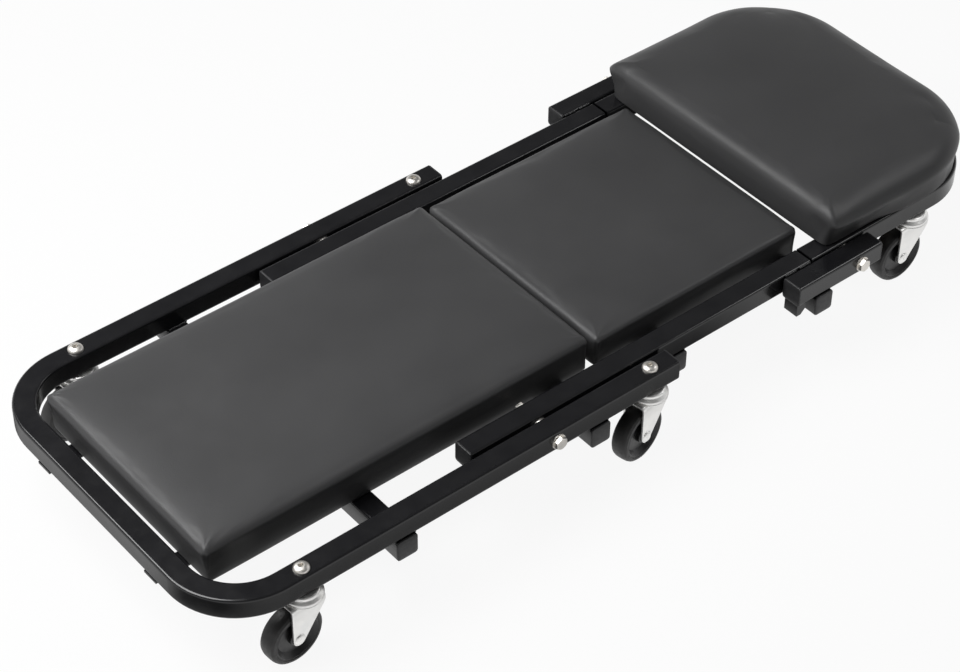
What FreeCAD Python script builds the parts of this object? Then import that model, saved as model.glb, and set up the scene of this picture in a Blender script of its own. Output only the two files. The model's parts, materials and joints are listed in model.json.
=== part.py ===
import FreeCAD, Part
import math
import os
import re
import Sketcher
from FreeCAD import Placement, Rotation, Vector

# Folding creeper seat: three padded tube frames on six swivel casters, hinged so that they fold
# into a Z-shaped seat. Millimetres; +X to the head end, +Z up, the origin on the floor below the middle.

SIZES = {
    # Square steel tube
    "tube_size": 25.0,
    "tube_wall": 1.5,
    "tube_corner": 3.0,
    "bend_radius": 69.5,
    # Places across the frame
    "outer_rail_offset": 195.5,
    "knee_spacer": 4.2,
    "head_spacer": 2.0,
    # Places along the frame, from the front of the bent loop to the head end
    "front_overhang": 105.0,
    "front_cross_reach": 115.4,
    "knee_reach": 307.3,
    "middle_caster_reach": 76.9,
    "rail_tail": 29.0,
    "knee_tail": 86.5,
    "knee_stop": 44.0,
    "seat_cross_reach": 54.8,
    "fold_span": 430.7,
    "head_stop": 42.6,
    "head_bearing": 4.9,
    "swing_clearance": 1.9,
    "stub_lead": 91.0,
    "stub_tail": 29.7,
    "head_caster_reach": 119.0,
    "head_reach": 226.0,
    "head_pad_overhang": 12.0,
    # Lug under each hinge stub
    "lug_length": 12.0,
    "lug_depth": 16.0,
    "lug_slope": 6.0,
    # Straps under the leg pad
    "strap_offset": 94.0,
    "strap_width": 20.0,
    "strap_thickness": 3.0,
    # Plastic end plugs
    "plug_flange": 2.5,
    "plug_depth": 12.0,
    "plug_fit": 0.1,
    # Leg and seat pads
    "pad_side_gap": 13.3,
    "pad_corner": 8.0,
    "pad_gap": 7.0,
    "leg_pad_gap": 10.0,
    "leg_pad_overhang": 31.7,
    "leg_pad_thickness": 46.5,
    "leg_pad_tuck": 2.5,
    "leg_pad_round": 12.0,
    "leg_pad_crown": 4.0,
    "leg_pad_crown_reach": 80.0,
    "seat_pad_thickness": 37.0,
    "seat_pad_tuck": 2.5,
    "seat_pad_round": 6.0,
    "seat_pad_crown": 4.0,
    "seat_pad_crown_reach": 80.0,
    # Head pad
    "head_pad_gap": 6.0,
    "head_pad_lead": 26.0,
    "head_pad_side": 6.2,
    "head_pad_thickness": 47.0,
    "head_pad_widest": 33.0,
    "head_pad_tuck": 9.5,
    "head_pad_round": 20.0,
    "head_pad_crown": 4.0,
    "head_pad_cap_corner": 11.0,
    "head_pad_front_corner": 14.0,
    "head_pad_end_corner": 95.0,
    # Plywood boards inside the pads
    "board_thickness": 9.0,
    "board_skirt": 3.0,
    "board_fit": 0.3,
    # Pad screws
    "pad_screw_radius": 2.5,
    "pad_screw_bite": 7.0,
    "pad_screw_head_radius": 5.0,
    "pad_screw_head_height": 3.0,
    "pad_screw_head_flat": 3.5,
    "pad_screw_head_edge": 1.5,
    "pad_screw_strap_reach": 35.0,
    "head_screw_reach": 76.0,
    "head_screw_inset": 6.0,
    "head_screw_span": 60.0,
    # Pivot bolts
    "bolt_radius": 4.0,
    "bolt_hex": 13.0,
    "bolt_head_height": 5.3,
    "bolt_overrun": 1.5,
    "nut_height": 6.5,
    "washer_radius": 8.5,
    "washer_thickness": 1.6,
    "running_fit": 0.05,
    # Casters
    "wheel_headroom": 5.0,
    "wheel_radius": 33.0,
    "wheel_width": 20.0,
    "wheel_round": 4.0,
    "wheel_hub_radius": 9.0,
    "wheel_hub_length": 21.0,
    "wheel_web": 9.0,
    "wheel_rim_depth": 8.0,
    "caster_trail": 16.5,
    "side_play": 0.3,
    "fork_sheet": 2.3,
    "fork_crown_radius": 20.5,
    "fork_lead": 17.0,
    "fork_shoulder": 11.0,
    "fork_eye_radius": 7.5,
    "axle_radius": 4.0,
    "axle_head_radius": 6.5,
    "axle_head_height": 2.2,
    "axle_head_flat": 4.9,
    "race_radius": 21.0,
    "race_top_radius": 17.0,
    "race_height": 9.0,
    "race_rim": 3.0,
    "kingpin_radius": 8.0,
    "kingpin_head_height": 2.6,
    "stem_depth": 11.0,
    "stem_screw_radius": 4.0,
    "stem_head_radius": 8.5,
    "stem_head_height": 4.6,
    "stem_head_flat": 4.25,
    "stem_head_shoulder_radius": 7.2,
    "stem_head_shoulder": 3.0,
    "stem_head_edge": 0.9,
    "stem_socket": 5.0,
    "stem_socket_depth": 2.6,
    # How far each pair of casters is turned as it stands, in degrees
    "front_caster_yaw": 4.0,
    "middle_caster_yaw": 11.0,
    "head_caster_yaw": 0.0,
}

PLACES = {
    # Along the frame
    "head_pad_reach": "head_reach + head_pad_overhang",
    "front_x": "-(front_overhang + knee_reach + fold_span + head_pad_reach) / 2",
    "front_caster_x": "front_x + front_overhang",
    "front_cross_x": "front_caster_x + front_cross_reach",
    "knee_x": "front_caster_x + knee_reach",
    "stop_cross_x": "knee_x + knee_stop + tube_size / 2",
    "middle_caster_x": "stop_cross_x + middle_caster_reach",
    "rail_end_x": "middle_caster_x + rail_tail",
    "inner_start_x": "knee_x - knee_tail",
    "seat_cross_x": "middle_caster_x + seat_cross_reach",
    "head_x": "knee_x + fold_span",
    "hinge_cross_x": "head_x - head_stop - tube_size / 2",
    "head_tail": "head_stop + head_bearing",
    "head_start_x": "head_x - head_tail",
    "inner_end_x": "head_x - sqrt(head_tail ^ 2 + tube_size ^ 2 / 4) - swing_clearance",
    "stub_start_x": "head_x - stub_lead",
    "stub_end_x": "head_x + stub_tail",
    "head_caster_x": "head_x + head_caster_reach",
    "head_end_x": "head_x + head_reach - tube_size / 2",
    # Across the frame
    "inner_rail_offset": "outer_rail_offset - tube_size - knee_spacer",
    "stub_offset": "inner_rail_offset + tube_size + head_spacer",
    "outer_face": "outer_rail_offset + tube_size / 2",
    "inner_face": "inner_rail_offset + tube_size / 2",
    "stub_face": "stub_offset + tube_size / 2",
    "head_screw_offset": "inner_rail_offset - head_screw_inset",
    # Heights
    "rail_z": "caster_height + tube_size / 2",
    "rail_top_z": "caster_height + tube_size",
    "cross_z": "caster_height - tube_size / 2",
    "cross_bottom_z": "caster_height - tube_size",
    # Pads
    "pad_half_width": "inner_rail_offset - tube_size / 2 - pad_side_gap",
    "leg_pad_x": "front_x + tube_size + leg_pad_gap",
    "leg_pad_end_x": "stop_cross_x + tube_size / 2 + leg_pad_overhang",
    "leg_pad_length": "leg_pad_end_x - leg_pad_x",
    "head_pad_x": "head_x - head_pad_lead",
    "seat_pad_x": "leg_pad_end_x + pad_gap",
    "seat_pad_length": "head_pad_x - head_pad_gap - seat_pad_x",
    "head_pad_length": "head_pad_lead + head_pad_reach",
    "head_pad_half_width": "inner_face + head_pad_side",
    "head_pad_crown_reach": "head_pad_end_corner - head_pad_round - head_pad_cap_corner",
    "leg_pad_widest": "leg_pad_thickness - leg_pad_round",
    "seat_pad_widest": "seat_pad_thickness - seat_pad_round",
    "pad_screw_hole": "pad_screw_radius + running_fit",
    "bolt_hole": "bolt_radius + running_fit",
    # Casters, measured from the swivel axis at the underside of the rail
    "caster_height": "2 * wheel_radius + wheel_headroom + kingpin_end",
    "axle_drop": "caster_height - wheel_radius",
    "fork_gap": "wheel_hub_length / 2 + side_play",
    "fork_face": "fork_gap + fork_sheet",
    "crown_top": "race_height + side_play",
    "crown_bottom": "crown_top + fork_sheet",
    "kingpin_head_radius": "fork_gap - 2 * side_play",
    "kingpin_head_top": "crown_bottom + side_play",
    "kingpin_end": "kingpin_head_top + kingpin_head_height",
    "axle_hole": "axle_radius + running_fit",
    "stem_hole": "stem_screw_radius + running_fit",
}

SIDES = {"near": -1, "far": 1}
HEX_CORNERS = 6
HEX_TURN = 15
FOOT_ARC = (180, 320)
TUCK_STEPS = ((0.0, 1.0), (0.5, 0.75), (1.0, 0.0))
EDGE_TURNS = (25, 50, 70, 90)
CROWN_SHARES = (0.3, 0.6, 1.0)

doc = FreeCAD.newDocument("folding_creeper_seat")
sheet = doc.addObject("Spreadsheet::Sheet", "Sizes")
for row, (alias, amount) in enumerate(SIZES.items(), start=1):
    sheet.set(f"A{row}", alias)
    sheet.set(f"B{row}", str(amount))
    sheet.setAlias(f"B{row}", alias)
doc.recompute()

nodes = []


# Formulas and bindings

def formula(text):
    """A plain formula with its named places worked out down to the sheet's cells."""
    def swap(found):
        word = found.group()
        if word in PLACES:
            return "(" + formula(PLACES[word]) + ")"
        return "Sizes." + word if word in SIZES else word
    return re.sub(r"[a-z][a-z_0-9]*", swap, text)


def size(text):
    return float(sheet.evalExpression(formula(text)))


def bind(thing, path, text):
    thing.setExpression(path, formula(text))


def place(thing, x="0", y="0", z="0", turn=0.0):
    """Put a piece at three formulas, turned about the vertical."""
    thing.Placement = Placement(Vector(), Rotation(Vector(0, 0, 1), turn))
    for axis, text in zip("xyz", (x, y, z)):
        bind(thing, "Placement.Base." + axis, text)
    return thing


def keep(thing, label):
    """Name a finished piece; the label is the name of its file."""
    thing.Label = label
    nodes.append(thing)
    return thing


def gathered(label, pieces):
    """Several small pieces of one kind kept together."""
    group = doc.addObject("Part::Compound", label)
    group.Links = pieces
    return keep(group, label)


# Sketches

def new_body(name):
    return doc.addObject("PartDesign::Body", name)


def origin_feature(body, role):
    return next(item for item in body.Origin.OriginFeatures if item.Role == role)


def new_sketch(body, role, shift=None):
    """A sketch on one of the body's own planes, moved by formulas along its own axes."""
    sketch = body.newObject("Sketcher::SketchObject", body.Name + "_sketch")
    sketch.AttachmentSupport = [(origin_feature(body, role), "")]
    sketch.MapMode = "FlatFace"
    for axis, text in (shift or {}).items():
        bind(sketch, "AttachmentOffset.Base." + axis, text)
    return sketch


def dimension(sketch, constraint, text):
    index = sketch.addConstraint(constraint)
    bind(sketch, f"Constraints[{index}]", text)


def pin(sketch, item, end, across, up):
    """Hold one point of a sketch at two formulas."""
    for kind, axis, text in (("DistanceX", -2, across), ("DistanceY", -1, up)):
        if text == "0":
            sketch.addConstraint(Sketcher.Constraint("PointOnObject", item, end, axis))
        else:
            dimension(sketch, Sketcher.Constraint(kind, -1, 1, item, end, size(text)), text)


def polygon(sketch, corners):
    first = sketch.GeometryCount
    points = [Vector(size(across), size(up), 0) for across, up in corners]
    for start, end in zip(points, points[1:] + points[:1]):
        sketch.addGeometry(Part.LineSegment(start, end))
    for index, (across, up) in enumerate(corners):
        before = first + (index - 1) % len(corners)
        sketch.addConstraint(Sketcher.Constraint("Coincident", before, 2, first + index, 1))
        pin(sketch, first + index, 1, across, up)


def hexagon(sketch, across_flats):
    reach = f"{across_flats} / sqrt(3)"
    turns = [360 / HEX_CORNERS * corner + HEX_TURN for corner in range(HEX_CORNERS)]
    polygon(sketch, [(f"{reach} * cos({turn})", f"{reach} * sin({turn})") for turn in turns])


def circle(sketch, across, up, radius):
    centre = Vector(size(across), size(up), 0)
    item = sketch.addGeometry(Part.Circle(centre, Vector(0, 0, 1), size(radius)))
    pin(sketch, item, 3, across, up)
    dimension(sketch, Sketcher.Constraint("Radius", item, size(radius)), radius)


def rounded_outline(sketch, start, end, half, start_corner, end_corner):
    """A closed outline from start to end along the sketch's x, half each way, with round corners."""
    first = sketch.GeometryCount
    arcs = []
    for along, inward, side, corner, turn in (
        (end, -1, -1, end_corner, -90),
        (end, -1, 1, end_corner, 0),
        (start, 1, 1, start_corner, 90),
        (start, 1, -1, start_corner, 180),
    ):
        radius = size(corner)
        centre = Vector(size(along) + inward * radius, side * (size(half) - radius), 0)
        ring = Part.Circle(centre, Vector(0, 0, 1), radius)
        arcs.append(Part.ArcOfCircle(ring, math.radians(turn), math.radians(turn + 90)))
    for arc, following in zip(arcs, arcs[1:] + arcs[:1]):
        sketch.addGeometry(arc)
        sketch.addGeometry(Part.LineSegment(arc.EndPoint, following.StartPoint))
    for index in range(8):
        following = first + (index + 1) % 8
        sketch.addConstraint(Sketcher.Constraint("Tangent", first + index, 2, following, 1))
    for index, kind in ((1, "Vertical"), (3, "Horizontal"), (5, "Vertical"), (7, "Horizontal")):
        sketch.addConstraint(Sketcher.Constraint(kind, first + index))
    for index, corner in ((0, end_corner), (2, end_corner), (4, start_corner), (6, start_corner)):
        dimension(sketch, Sketcher.Constraint("Radius", first + index, size(corner)), corner)
    for index, kind, text in (
        (1, "DistanceX", end),
        (3, "DistanceY", half),
        (5, "DistanceX", start),
        (7, "DistanceY", f"-({half})"),
    ):
        dimension(sketch, Sketcher.Constraint(kind, -1, 1, first + index, 1, size(text)), text)


def tube_section(sketch):
    for half, corner in (
        ("tube_size / 2", "tube_corner"),
        ("tube_size / 2 - tube_wall", "tube_corner - tube_wall"),
    ):
        rounded_outline(sketch, f"-({half})", half, half, corner, corner)


# Features

def pad(body, sketch, length, side="One side", reverse=False):
    feature = body.newObject("PartDesign::Pad", body.Name + "_pad")
    feature.Profile = sketch
    feature.SideType = side
    feature.Reversed = reverse
    bind(feature, "Length", length)
    return feature


def cut(body, sketch, length=None, reverse=False):
    """Cut a sketch out of a body: a given depth one way, or right through both ways."""
    feature = body.newObject("PartDesign::Pocket", body.Name + "_cut")
    feature.Profile = sketch
    feature.Reversed = reverse
    if length is None:
        feature.Type = "ThroughAll"
        feature.SideType = "Symmetric"
    else:
        bind(feature, "Length", length)
    return feature


def turn_round(body, role, axis, corners):
    """Turn a polygon of radius and height about one of the body's axes."""
    sketch = new_sketch(body, role)
    polygon(sketch, corners)
    feature = body.newObject("PartDesign::Revolution", body.Name + "_turn")
    feature.Profile = sketch
    feature.ReferenceAxis = (origin_feature(body, axis), [""])
    feature.Angle = 360.0
    return feature


def drill_upright(body, spots, radius):
    sketch = new_sketch(body, "XY_Plane")
    for across, along in spots:
        circle(sketch, across, along, radius)
    return cut(body, sketch)


def drill_across(body, across, up, radius):
    sketch = new_sketch(body, "XZ_Plane")
    circle(sketch, across, up, radius)
    return cut(body, sketch)


# Tubes

def bent_frame(label, open_x, closed_x, offset, toward):
    """A U of square tube lying flat: two rails and a closed end, toward -1 or +1 along X."""
    body = new_body(label)
    path = new_sketch(body, "XY_Plane")
    radius = size("bend_radius")
    opening, closing, half = size(open_x), size(closed_x), size(offset)
    corner_x = closing - toward * radius
    arcs = []
    for side, turn in ((-toward, -90 * toward), (toward, 90 - 90 * toward)):
        ring = Part.Circle(Vector(corner_x, side * (half - radius), 0), Vector(0, 0, 1), radius)
        arcs.append(Part.ArcOfCircle(ring, math.radians(turn), math.radians(turn + 90)))
    start = Vector(opening, -toward * half, 0)
    end = Vector(opening, toward * half, 0)
    path.addGeometry(Part.LineSegment(start, arcs[0].StartPoint))
    path.addGeometry(arcs[0])
    path.addGeometry(Part.LineSegment(arcs[0].EndPoint, arcs[1].StartPoint))
    path.addGeometry(arcs[1])
    path.addGeometry(Part.LineSegment(arcs[1].EndPoint, end))
    for index in range(4):
        path.addConstraint(Sketcher.Constraint("Tangent", index, 2, index + 1, 1))
    for index, kind in ((0, "Horizontal"), (2, "Vertical"), (4, "Horizontal")):
        path.addConstraint(Sketcher.Constraint(kind, index))
    for index in (1, 3):
        dimension(path, Sketcher.Constraint("Radius", index, radius), "bend_radius")
    dimension(path, Sketcher.Constraint("DistanceX", -1, 1, 2, 1, closing), closed_x)
    pin(path, 0, 1, open_x, f"{-toward} * ({offset})")
    pin(path, 4, 2, open_x, f"{toward} * ({offset})")
    section = new_sketch(body, "YZ_Plane", {"x": f"{-toward} * ({offset})", "z": open_x})
    tube_section(section)
    feature = body.newObject("PartDesign::AdditivePipe", label + "_pipe")
    feature.Profile = section
    feature.Spine = (path, [])
    place(body, z="rail_z")
    return keep(body, label)


def long_tube(label, start_x, end_x, y, z):
    """A straight tube along X."""
    body = new_body(label)
    section = new_sketch(body, "YZ_Plane")
    tube_section(section)
    pad(body, section, f"{end_x} - ({start_x})")
    place(body, start_x, y, z)
    return keep(body, label)


def cross_tube(label, x, z, face):
    """A straight tube across the frame, out to a face on each side."""
    body = new_body(label)
    section = new_sketch(body, "XZ_Plane")
    tube_section(section)
    pad(body, section, f"2 * ({face})", "Symmetric")
    place(body, x, "0", z)
    return keep(body, label)


def plug(name, x, y, z, turn):
    """A plastic plug pressed into a tube's end; its flange covers the end."""
    body = new_body(name)
    flange = new_sketch(body, "YZ_Plane")
    rounded_outline(flange, "-tube_size / 2", "tube_size / 2", "tube_size / 2", "tube_corner", "tube_corner")
    pad(body, flange, "plug_flange")
    core = new_sketch(body, "YZ_Plane")
    half = "(tube_size / 2 - tube_wall - plug_fit)"
    rounded_outline(core, f"-{half}", half, half, "tube_corner - tube_wall", "tube_corner - tube_wall")
    pad(body, core, "plug_depth", reverse=True)
    return place(body, x, y, z, turn)


def strap(label, side):
    """A flat bar welded under the loop's front tube and against the front cross tube."""
    body = new_body(label)
    outline = new_sketch(body, "XY_Plane")
    across = "strap_width / 2"
    end = "front_cross_x - tube_size / 2"
    polygon(outline, [
        ("front_x", f"-{across}"),
        (end, f"-{across}"),
        (end, across),
        ("front_x", across),
    ])
    pad(body, outline, "strap_thickness", reverse=True)
    drill_upright(body, [("leg_pad_x + pad_screw_strap_reach", "0")], "pad_screw_hole")
    place(body, "0", f"{side} * strap_offset", "caster_height")
    return keep(body, label)


def hinge_stub(label, side):
    """A short tube outside the seat rail that carries the head pivot, with a sloped lug under its front."""
    body = long_tube(label, "stub_start_x", "stub_end_x", f"{side} * stub_offset", "rail_z")
    outline = new_sketch(body, "XZ_Plane")
    bottom = "tube_size / 2"
    polygon(outline, [
        ("0", f"-({bottom})"),
        ("0", f"-({bottom} + lug_depth)"),
        ("lug_length - lug_slope", f"-({bottom} + lug_depth)"),
        ("lug_length", f"-({bottom} + lug_depth - lug_slope)"),
        ("lug_length", f"-({bottom})"),
    ])
    pad(body, outline, "tube_size - 2 * tube_corner", "Symmetric")
    drill_across(body, "head_x - stub_start_x", "0", "bolt_hole")
    return body


# Pads

def pad_outline(sketch, length, half, start_corner, end_corner, inset):
    rounded_outline(sketch, inset, f"{length} - ({inset})", f"{half} - ({inset})", start_corner, end_corner)


def pad_levels(kind):
    """A pad's outlines from its foot up: the height, and how far the outline is drawn in there."""
    tuck, edge, crown = f"{kind}_tuck", f"{kind}_round", f"{kind}_crown"
    widest, top, reach = f"{kind}_widest", f"{kind}_thickness", f"{kind}_crown_reach"
    levels = [(f"{widest} * {rise}", f"{tuck} * {share}") for rise, share in TUCK_STEPS]
    for turn in EDGE_TURNS:
        levels.append((f"{widest} + ({top} - {widest}) * sin({turn})", f"{edge} * (1 - cos({turn}))"))
    for share in CROWN_SHARES:
        levels.append((f"{top} + {crown} * {share} * (2 - {share})", f"{edge} + {reach} * {share}"))
    return levels


def cushion(label, x, z, length, half, levels, tuck, start_corner, end_corner):
    """A padded cover over its board: drawn in at the foot, round at the edge, crowned on top."""
    body = new_body(label)
    sections = []
    for height, inset in levels:
        section = new_sketch(body, "XY_Plane", {"z": height})
        pad_outline(section, length, half, start_corner(inset), end_corner(inset), inset)
        sections.append(section)
    feature = body.newObject("PartDesign::AdditiveLoft", label + "_loft")
    feature.Profile = sections[0]
    feature.Sections = [(section, [""]) for section in sections[1:]]
    feature.Ruled = True
    hollow = new_sketch(body, "XY_Plane")
    inset = f"{tuck} + board_skirt - board_fit"
    pad_outline(hollow, length, half, start_corner(inset), end_corner(inset), inset)
    cut(body, hollow, "board_thickness", reverse=True)
    place(body, x, "0", z)
    return keep(body, label)


def board(label, x, z, length, half, tuck, start_corner, end_corner, screws):
    """A plywood board that fills the hollow under its cushion, drilled for the pad screws."""
    body = new_body(label)
    outline = new_sketch(body, "XY_Plane")
    inset = f"{tuck} + board_skirt"
    pad_outline(outline, length, half, start_corner(inset), end_corner(inset), inset)
    pad(body, outline, "board_thickness")
    drill_upright(body, [(f"{across} - ({x})", along) for across, along in screws], "pad_screw_hole")
    place(body, x, "0", z)
    return keep(body, label)


def pad_screw(name, x, y, seat_z, grip):
    """A pan-head screw driven up from its seat through a grip and into a board."""
    body = new_body(name)
    end = f"({grip}) + pad_screw_bite"
    turn_round(body, "XZ_Plane", "Z_Axis", [
        ("0", "-pad_screw_head_height"),
        ("pad_screw_head_flat", "-pad_screw_head_height"),
        ("pad_screw_head_radius", "-pad_screw_head_edge"),
        ("pad_screw_head_radius", "0"),
        ("pad_screw_radius", "0"),
        ("pad_screw_radius", end),
        ("0", end),
    ])
    return place(body, x, y, seat_z)


# Pivot fasteners, laid out inward from the outer face of the outer tube

def lathe_fastener(name, corners, x, face, side, hex_head=False):
    body = new_body(name)
    turn_round(body, "XY_Plane", "Y_Axis", corners)
    if hex_head:
        head = new_sketch(body, "XZ_Plane", {"z": "washer_thickness"})
        hexagon(head, "bolt_hex")
        pad(body, head, "bolt_head_height")
    return place(body, x, f"{side} * ({face})", "rail_z", 0.0 if side < 0 else 180.0)


def pivot_bolt(label, x, face, spacer, side):
    end = f"2 * tube_size + {spacer} + nut_height + bolt_overrun"
    corners = [
        ("0", "-washer_thickness - bolt_head_height / 2"),
        ("bolt_radius", "-washer_thickness - bolt_head_height / 2"),
        ("bolt_radius", end),
        ("0", end),
    ]
    return keep(lathe_fastener(label, corners, x, face, side, hex_head=True), label)


def washer(name, start, end, x, face, side):
    corners = [
        ("bolt_hole", start),
        ("washer_radius", start),
        ("washer_radius", end),
        ("bolt_hole", end),
    ]
    return lathe_fastener(name, corners, x, face, side)


def pivot_washers(label, x, face, spacer):
    pieces = []
    for name, side in SIDES.items():
        pieces.append(washer(f"{label}_{name}_outer", "-washer_thickness", "0", x, face, side))
        between = ("tube_size", f"tube_size + {spacer}")
        pieces.append(washer(f"{label}_{name}_spacer", *between, x, face, side))
    return gathered(label, pieces)


def pivot_nuts(label, x, face, spacer):
    pieces = []
    for name, side in SIDES.items():
        body = new_body(f"{label}_{name}")
        outline = new_sketch(body, "XZ_Plane")
        hexagon(outline, "bolt_hex")
        circle(outline, "0", "0", "bolt_hole")
        pad(body, outline, "nut_height", reverse=side < 0)
        inner = f"{face} - 2 * tube_size - {spacer}"
        pieces.append(place(body, x, f"{side} * ({inner})", "rail_z"))
    return gathered(label, pieces)


# Casters, each drawn about its swivel axis with the underside of the rail at height zero

def raceway(label):
    """The fixed upper half: a flared cap and the kingpin that carries the fork's crown."""
    body = new_body(label)
    turn_round(body, "XZ_Plane", "Z_Axis", [
        ("stem_hole", "0"),
        ("race_top_radius", "0"),
        ("race_radius", "-(race_height - race_rim)"),
        ("race_radius", "-race_height"),
        ("kingpin_radius", "-race_height"),
        ("kingpin_radius", "-kingpin_head_top"),
        ("kingpin_head_radius", "-kingpin_head_top"),
        ("kingpin_head_radius", "-kingpin_end"),
        ("0", "-kingpin_end"),
        ("0", "-(stem_depth + side_play)"),
        ("stem_hole", "-(stem_depth + side_play)"),
    ])
    return body


def fork(label):
    """The turning lower half: a round crown and two legs that taper down to the axle."""
    body = new_body(label)
    leg = new_sketch(body, "XZ_Plane")
    eye = Vector(-size("caster_trail"), -size("axle_drop"), 0)
    radius = size("fork_eye_radius")
    top = -size("crown_top")
    lead = size("fork_lead")
    back = eye.x - radius
    ring = Part.Circle(eye, Vector(0, 0, 1), radius)
    foot = Part.ArcOfCircle(ring, *map(math.radians, FOOT_ARC))
    shoulder = Vector(lead, top - size("fork_shoulder"), 0)
    leg.addGeometry(Part.LineSegment(Vector(back, top, 0), Vector(back, eye.y, 0)))
    leg.addGeometry(foot)
    leg.addGeometry(Part.LineSegment(foot.EndPoint, shoulder))
    leg.addGeometry(Part.LineSegment(shoulder, Vector(lead, top, 0)))
    leg.addGeometry(Part.LineSegment(Vector(lead, top, 0), Vector(back, top, 0)))
    for index in (0, 1):
        leg.addConstraint(Sketcher.Constraint("Tangent", index, 2, index + 1, 1))
    for index in (2, 3, 4):
        leg.addConstraint(Sketcher.Constraint("Coincident", index, 2, (index + 1) % 5, 1))
    for index, kind in ((0, "Vertical"), (3, "Vertical"), (4, "Horizontal")):
        leg.addConstraint(Sketcher.Constraint(kind, index))
    pin(leg, 1, 3, "-caster_trail", "-axle_drop")
    pin(leg, 3, 1, "fork_lead", "-(crown_top + fork_shoulder)")
    dimension(leg, Sketcher.Constraint("Radius", 1, radius), "fork_eye_radius")
    dimension(leg, Sketcher.Constraint("DistanceY", -1, 1, 4, 1, top), "-crown_top")
    pad(body, leg, "2 * fork_face", "Symmetric")
    gap = new_sketch(body, "XZ_Plane")
    reach = "(caster_trail + axle_drop)"
    polygon(gap, [
        (f"-{reach}", "-crown_bottom"),
        (f"-{reach}", f"-2 * {reach}"),
        (reach, f"-2 * {reach}"),
        (reach, "-crown_bottom"),
    ])
    slot = cut(body, gap, "2 * fork_gap")
    slot.SideType = "Symmetric"
    crown = new_sketch(body, "XY_Plane", {"z": "-crown_top"})
    circle(crown, "0", "0", "fork_crown_radius")
    pad(body, crown, "fork_sheet", reverse=True)
    drill_upright(body, [("0", "0")], "kingpin_radius + running_fit")
    drill_across(body, "-caster_trail", "-axle_drop", "axle_hole")
    return body


def axle(label):
    body = new_body(label)
    end = "(fork_face + axle_head_height)"
    half = [
        ("axle_head_flat", end),
        ("axle_head_radius", "fork_face"),
        ("axle_radius", "fork_face"),
    ]
    mirrored = [(radius, f"-{along}") for radius, along in reversed(half)]
    turn_round(body, "XY_Plane", "Y_Axis", [("0", end)] + half + mirrored + [("0", f"-{end}")])
    return body


def wheel(label):
    """A solid wheel: a hub between the fork's legs, a thin web and a wide round-edged tread."""
    body = new_body(label)
    hub = "(wheel_hub_length / 2)"
    tread = "(wheel_width / 2)"
    web = "(wheel_web / 2)"
    rim = "wheel_radius - wheel_rim_depth"
    half = [
        ("axle_hole", hub),
        ("wheel_hub_radius", hub),
        ("wheel_hub_radius", web),
        (f"{rim} - (wheel_width - wheel_web) / 4", web),
        (rim, tread),
        ("wheel_radius", tread),
    ]
    mirrored = [(radius, f"-{along}") for radius, along in reversed(half)]
    blank = turn_round(body, "XY_Plane", "Y_Axis", half + mirrored)
    doc.recompute()
    outer = size("wheel_radius")
    edges = []
    for index, edge in enumerate(blank.Shape.Edges, start=1):
        if isinstance(edge.Curve, Part.Circle) and abs(edge.Curve.Radius - outer) < outer * 1e-6:
            edges.append(f"Edge{index}")
    feature = body.newObject("PartDesign::Fillet", label + "_round")
    feature.Base = (blank, edges)
    bind(feature, "Radius", "wheel_round")
    return body


def caster(name, x, y, yaw):
    """Four pieces of one caster; the wheel trails toward the front and is turned by its yaw."""
    turn = size(yaw)
    trail_x = f"{x} - caster_trail * cos({yaw})"
    trail_y = f"{y} - caster_trail * sin({yaw})"
    keep(place(raceway(f"{name}_raceway"), x, y, "caster_height"), f"{name}_raceway")
    keep(place(fork(f"{name}_fork"), x, y, "caster_height", turn), f"{name}_fork")
    for make, piece in ((axle, "axle"), (wheel, "wheel")):
        label = f"{name}_{piece}"
        keep(place(make(label), trail_x, trail_y, "wheel_radius", turn), label)


def stem_screw(name, x, y, seat_z, grip):
    """A socket button-head screw down through a tube into a caster's kingpin."""
    body = new_body(name)
    end = f"-({grip} + stem_depth)"
    turn_round(body, "XZ_Plane", "Z_Axis", [
        ("0", "stem_head_height"),
        ("stem_head_flat", "stem_head_height"),
        ("stem_head_shoulder_radius", "stem_head_shoulder"),
        ("stem_head_radius", "stem_head_edge"),
        ("stem_head_radius", "0"),
        ("stem_screw_radius", "0"),
        ("stem_screw_radius", end),
        ("0", end),
    ])
    socket = new_sketch(body, "XY_Plane", {"z": "stem_head_height"})
    hexagon(socket, "stem_socket")
    cut(body, socket, "stem_socket_depth")
    return place(body, x, y, seat_z)


# Base frame: a bent loop on four casters, two cross tubes and two straps

base_frame = bent_frame("base_frame", "rail_end_x", "front_x + tube_size / 2", "outer_rail_offset", -1)
base_caster_spots = [
    (x, f"{side} * outer_rail_offset")
    for x in ("front_caster_x", "middle_caster_x")
    for side in SIDES.values()
]
drill_upright(base_frame, base_caster_spots, "stem_hole")
drill_across(base_frame, "knee_x", "0", "bolt_hole")

strap_spots = [("0", f"{side} * strap_offset") for side in SIDES.values()]
front_cross = cross_tube("front_cross_tube", "front_cross_x", "cross_z", "outer_face")
stop_cross = cross_tube("stop_cross_tube", "stop_cross_x", "cross_z", "outer_face")
for tube in (front_cross, stop_cross):
    drill_upright(tube, strap_spots, "pad_screw_hole")
for name, side in SIDES.items():
    strap(f"pad_strap_{name}", side)

gathered("base_plugs", [
    plug(f"base_plug_{name}_{end}", x, f"{side} * {y}", z, turn if turn == 0 else turn * side)
    for name, side in SIDES.items()
    for end, x, y, z, turn in (
        ("rail", "rail_end_x", "outer_rail_offset", "rail_z", 0),
        ("front", "front_cross_x", "outer_face", "cross_z", 90),
        ("stop", "stop_cross_x", "outer_face", "cross_z", 90),
    )
])

# Seat frame: two rails inside the base rails, two cross tubes and the hinge stubs

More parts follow.
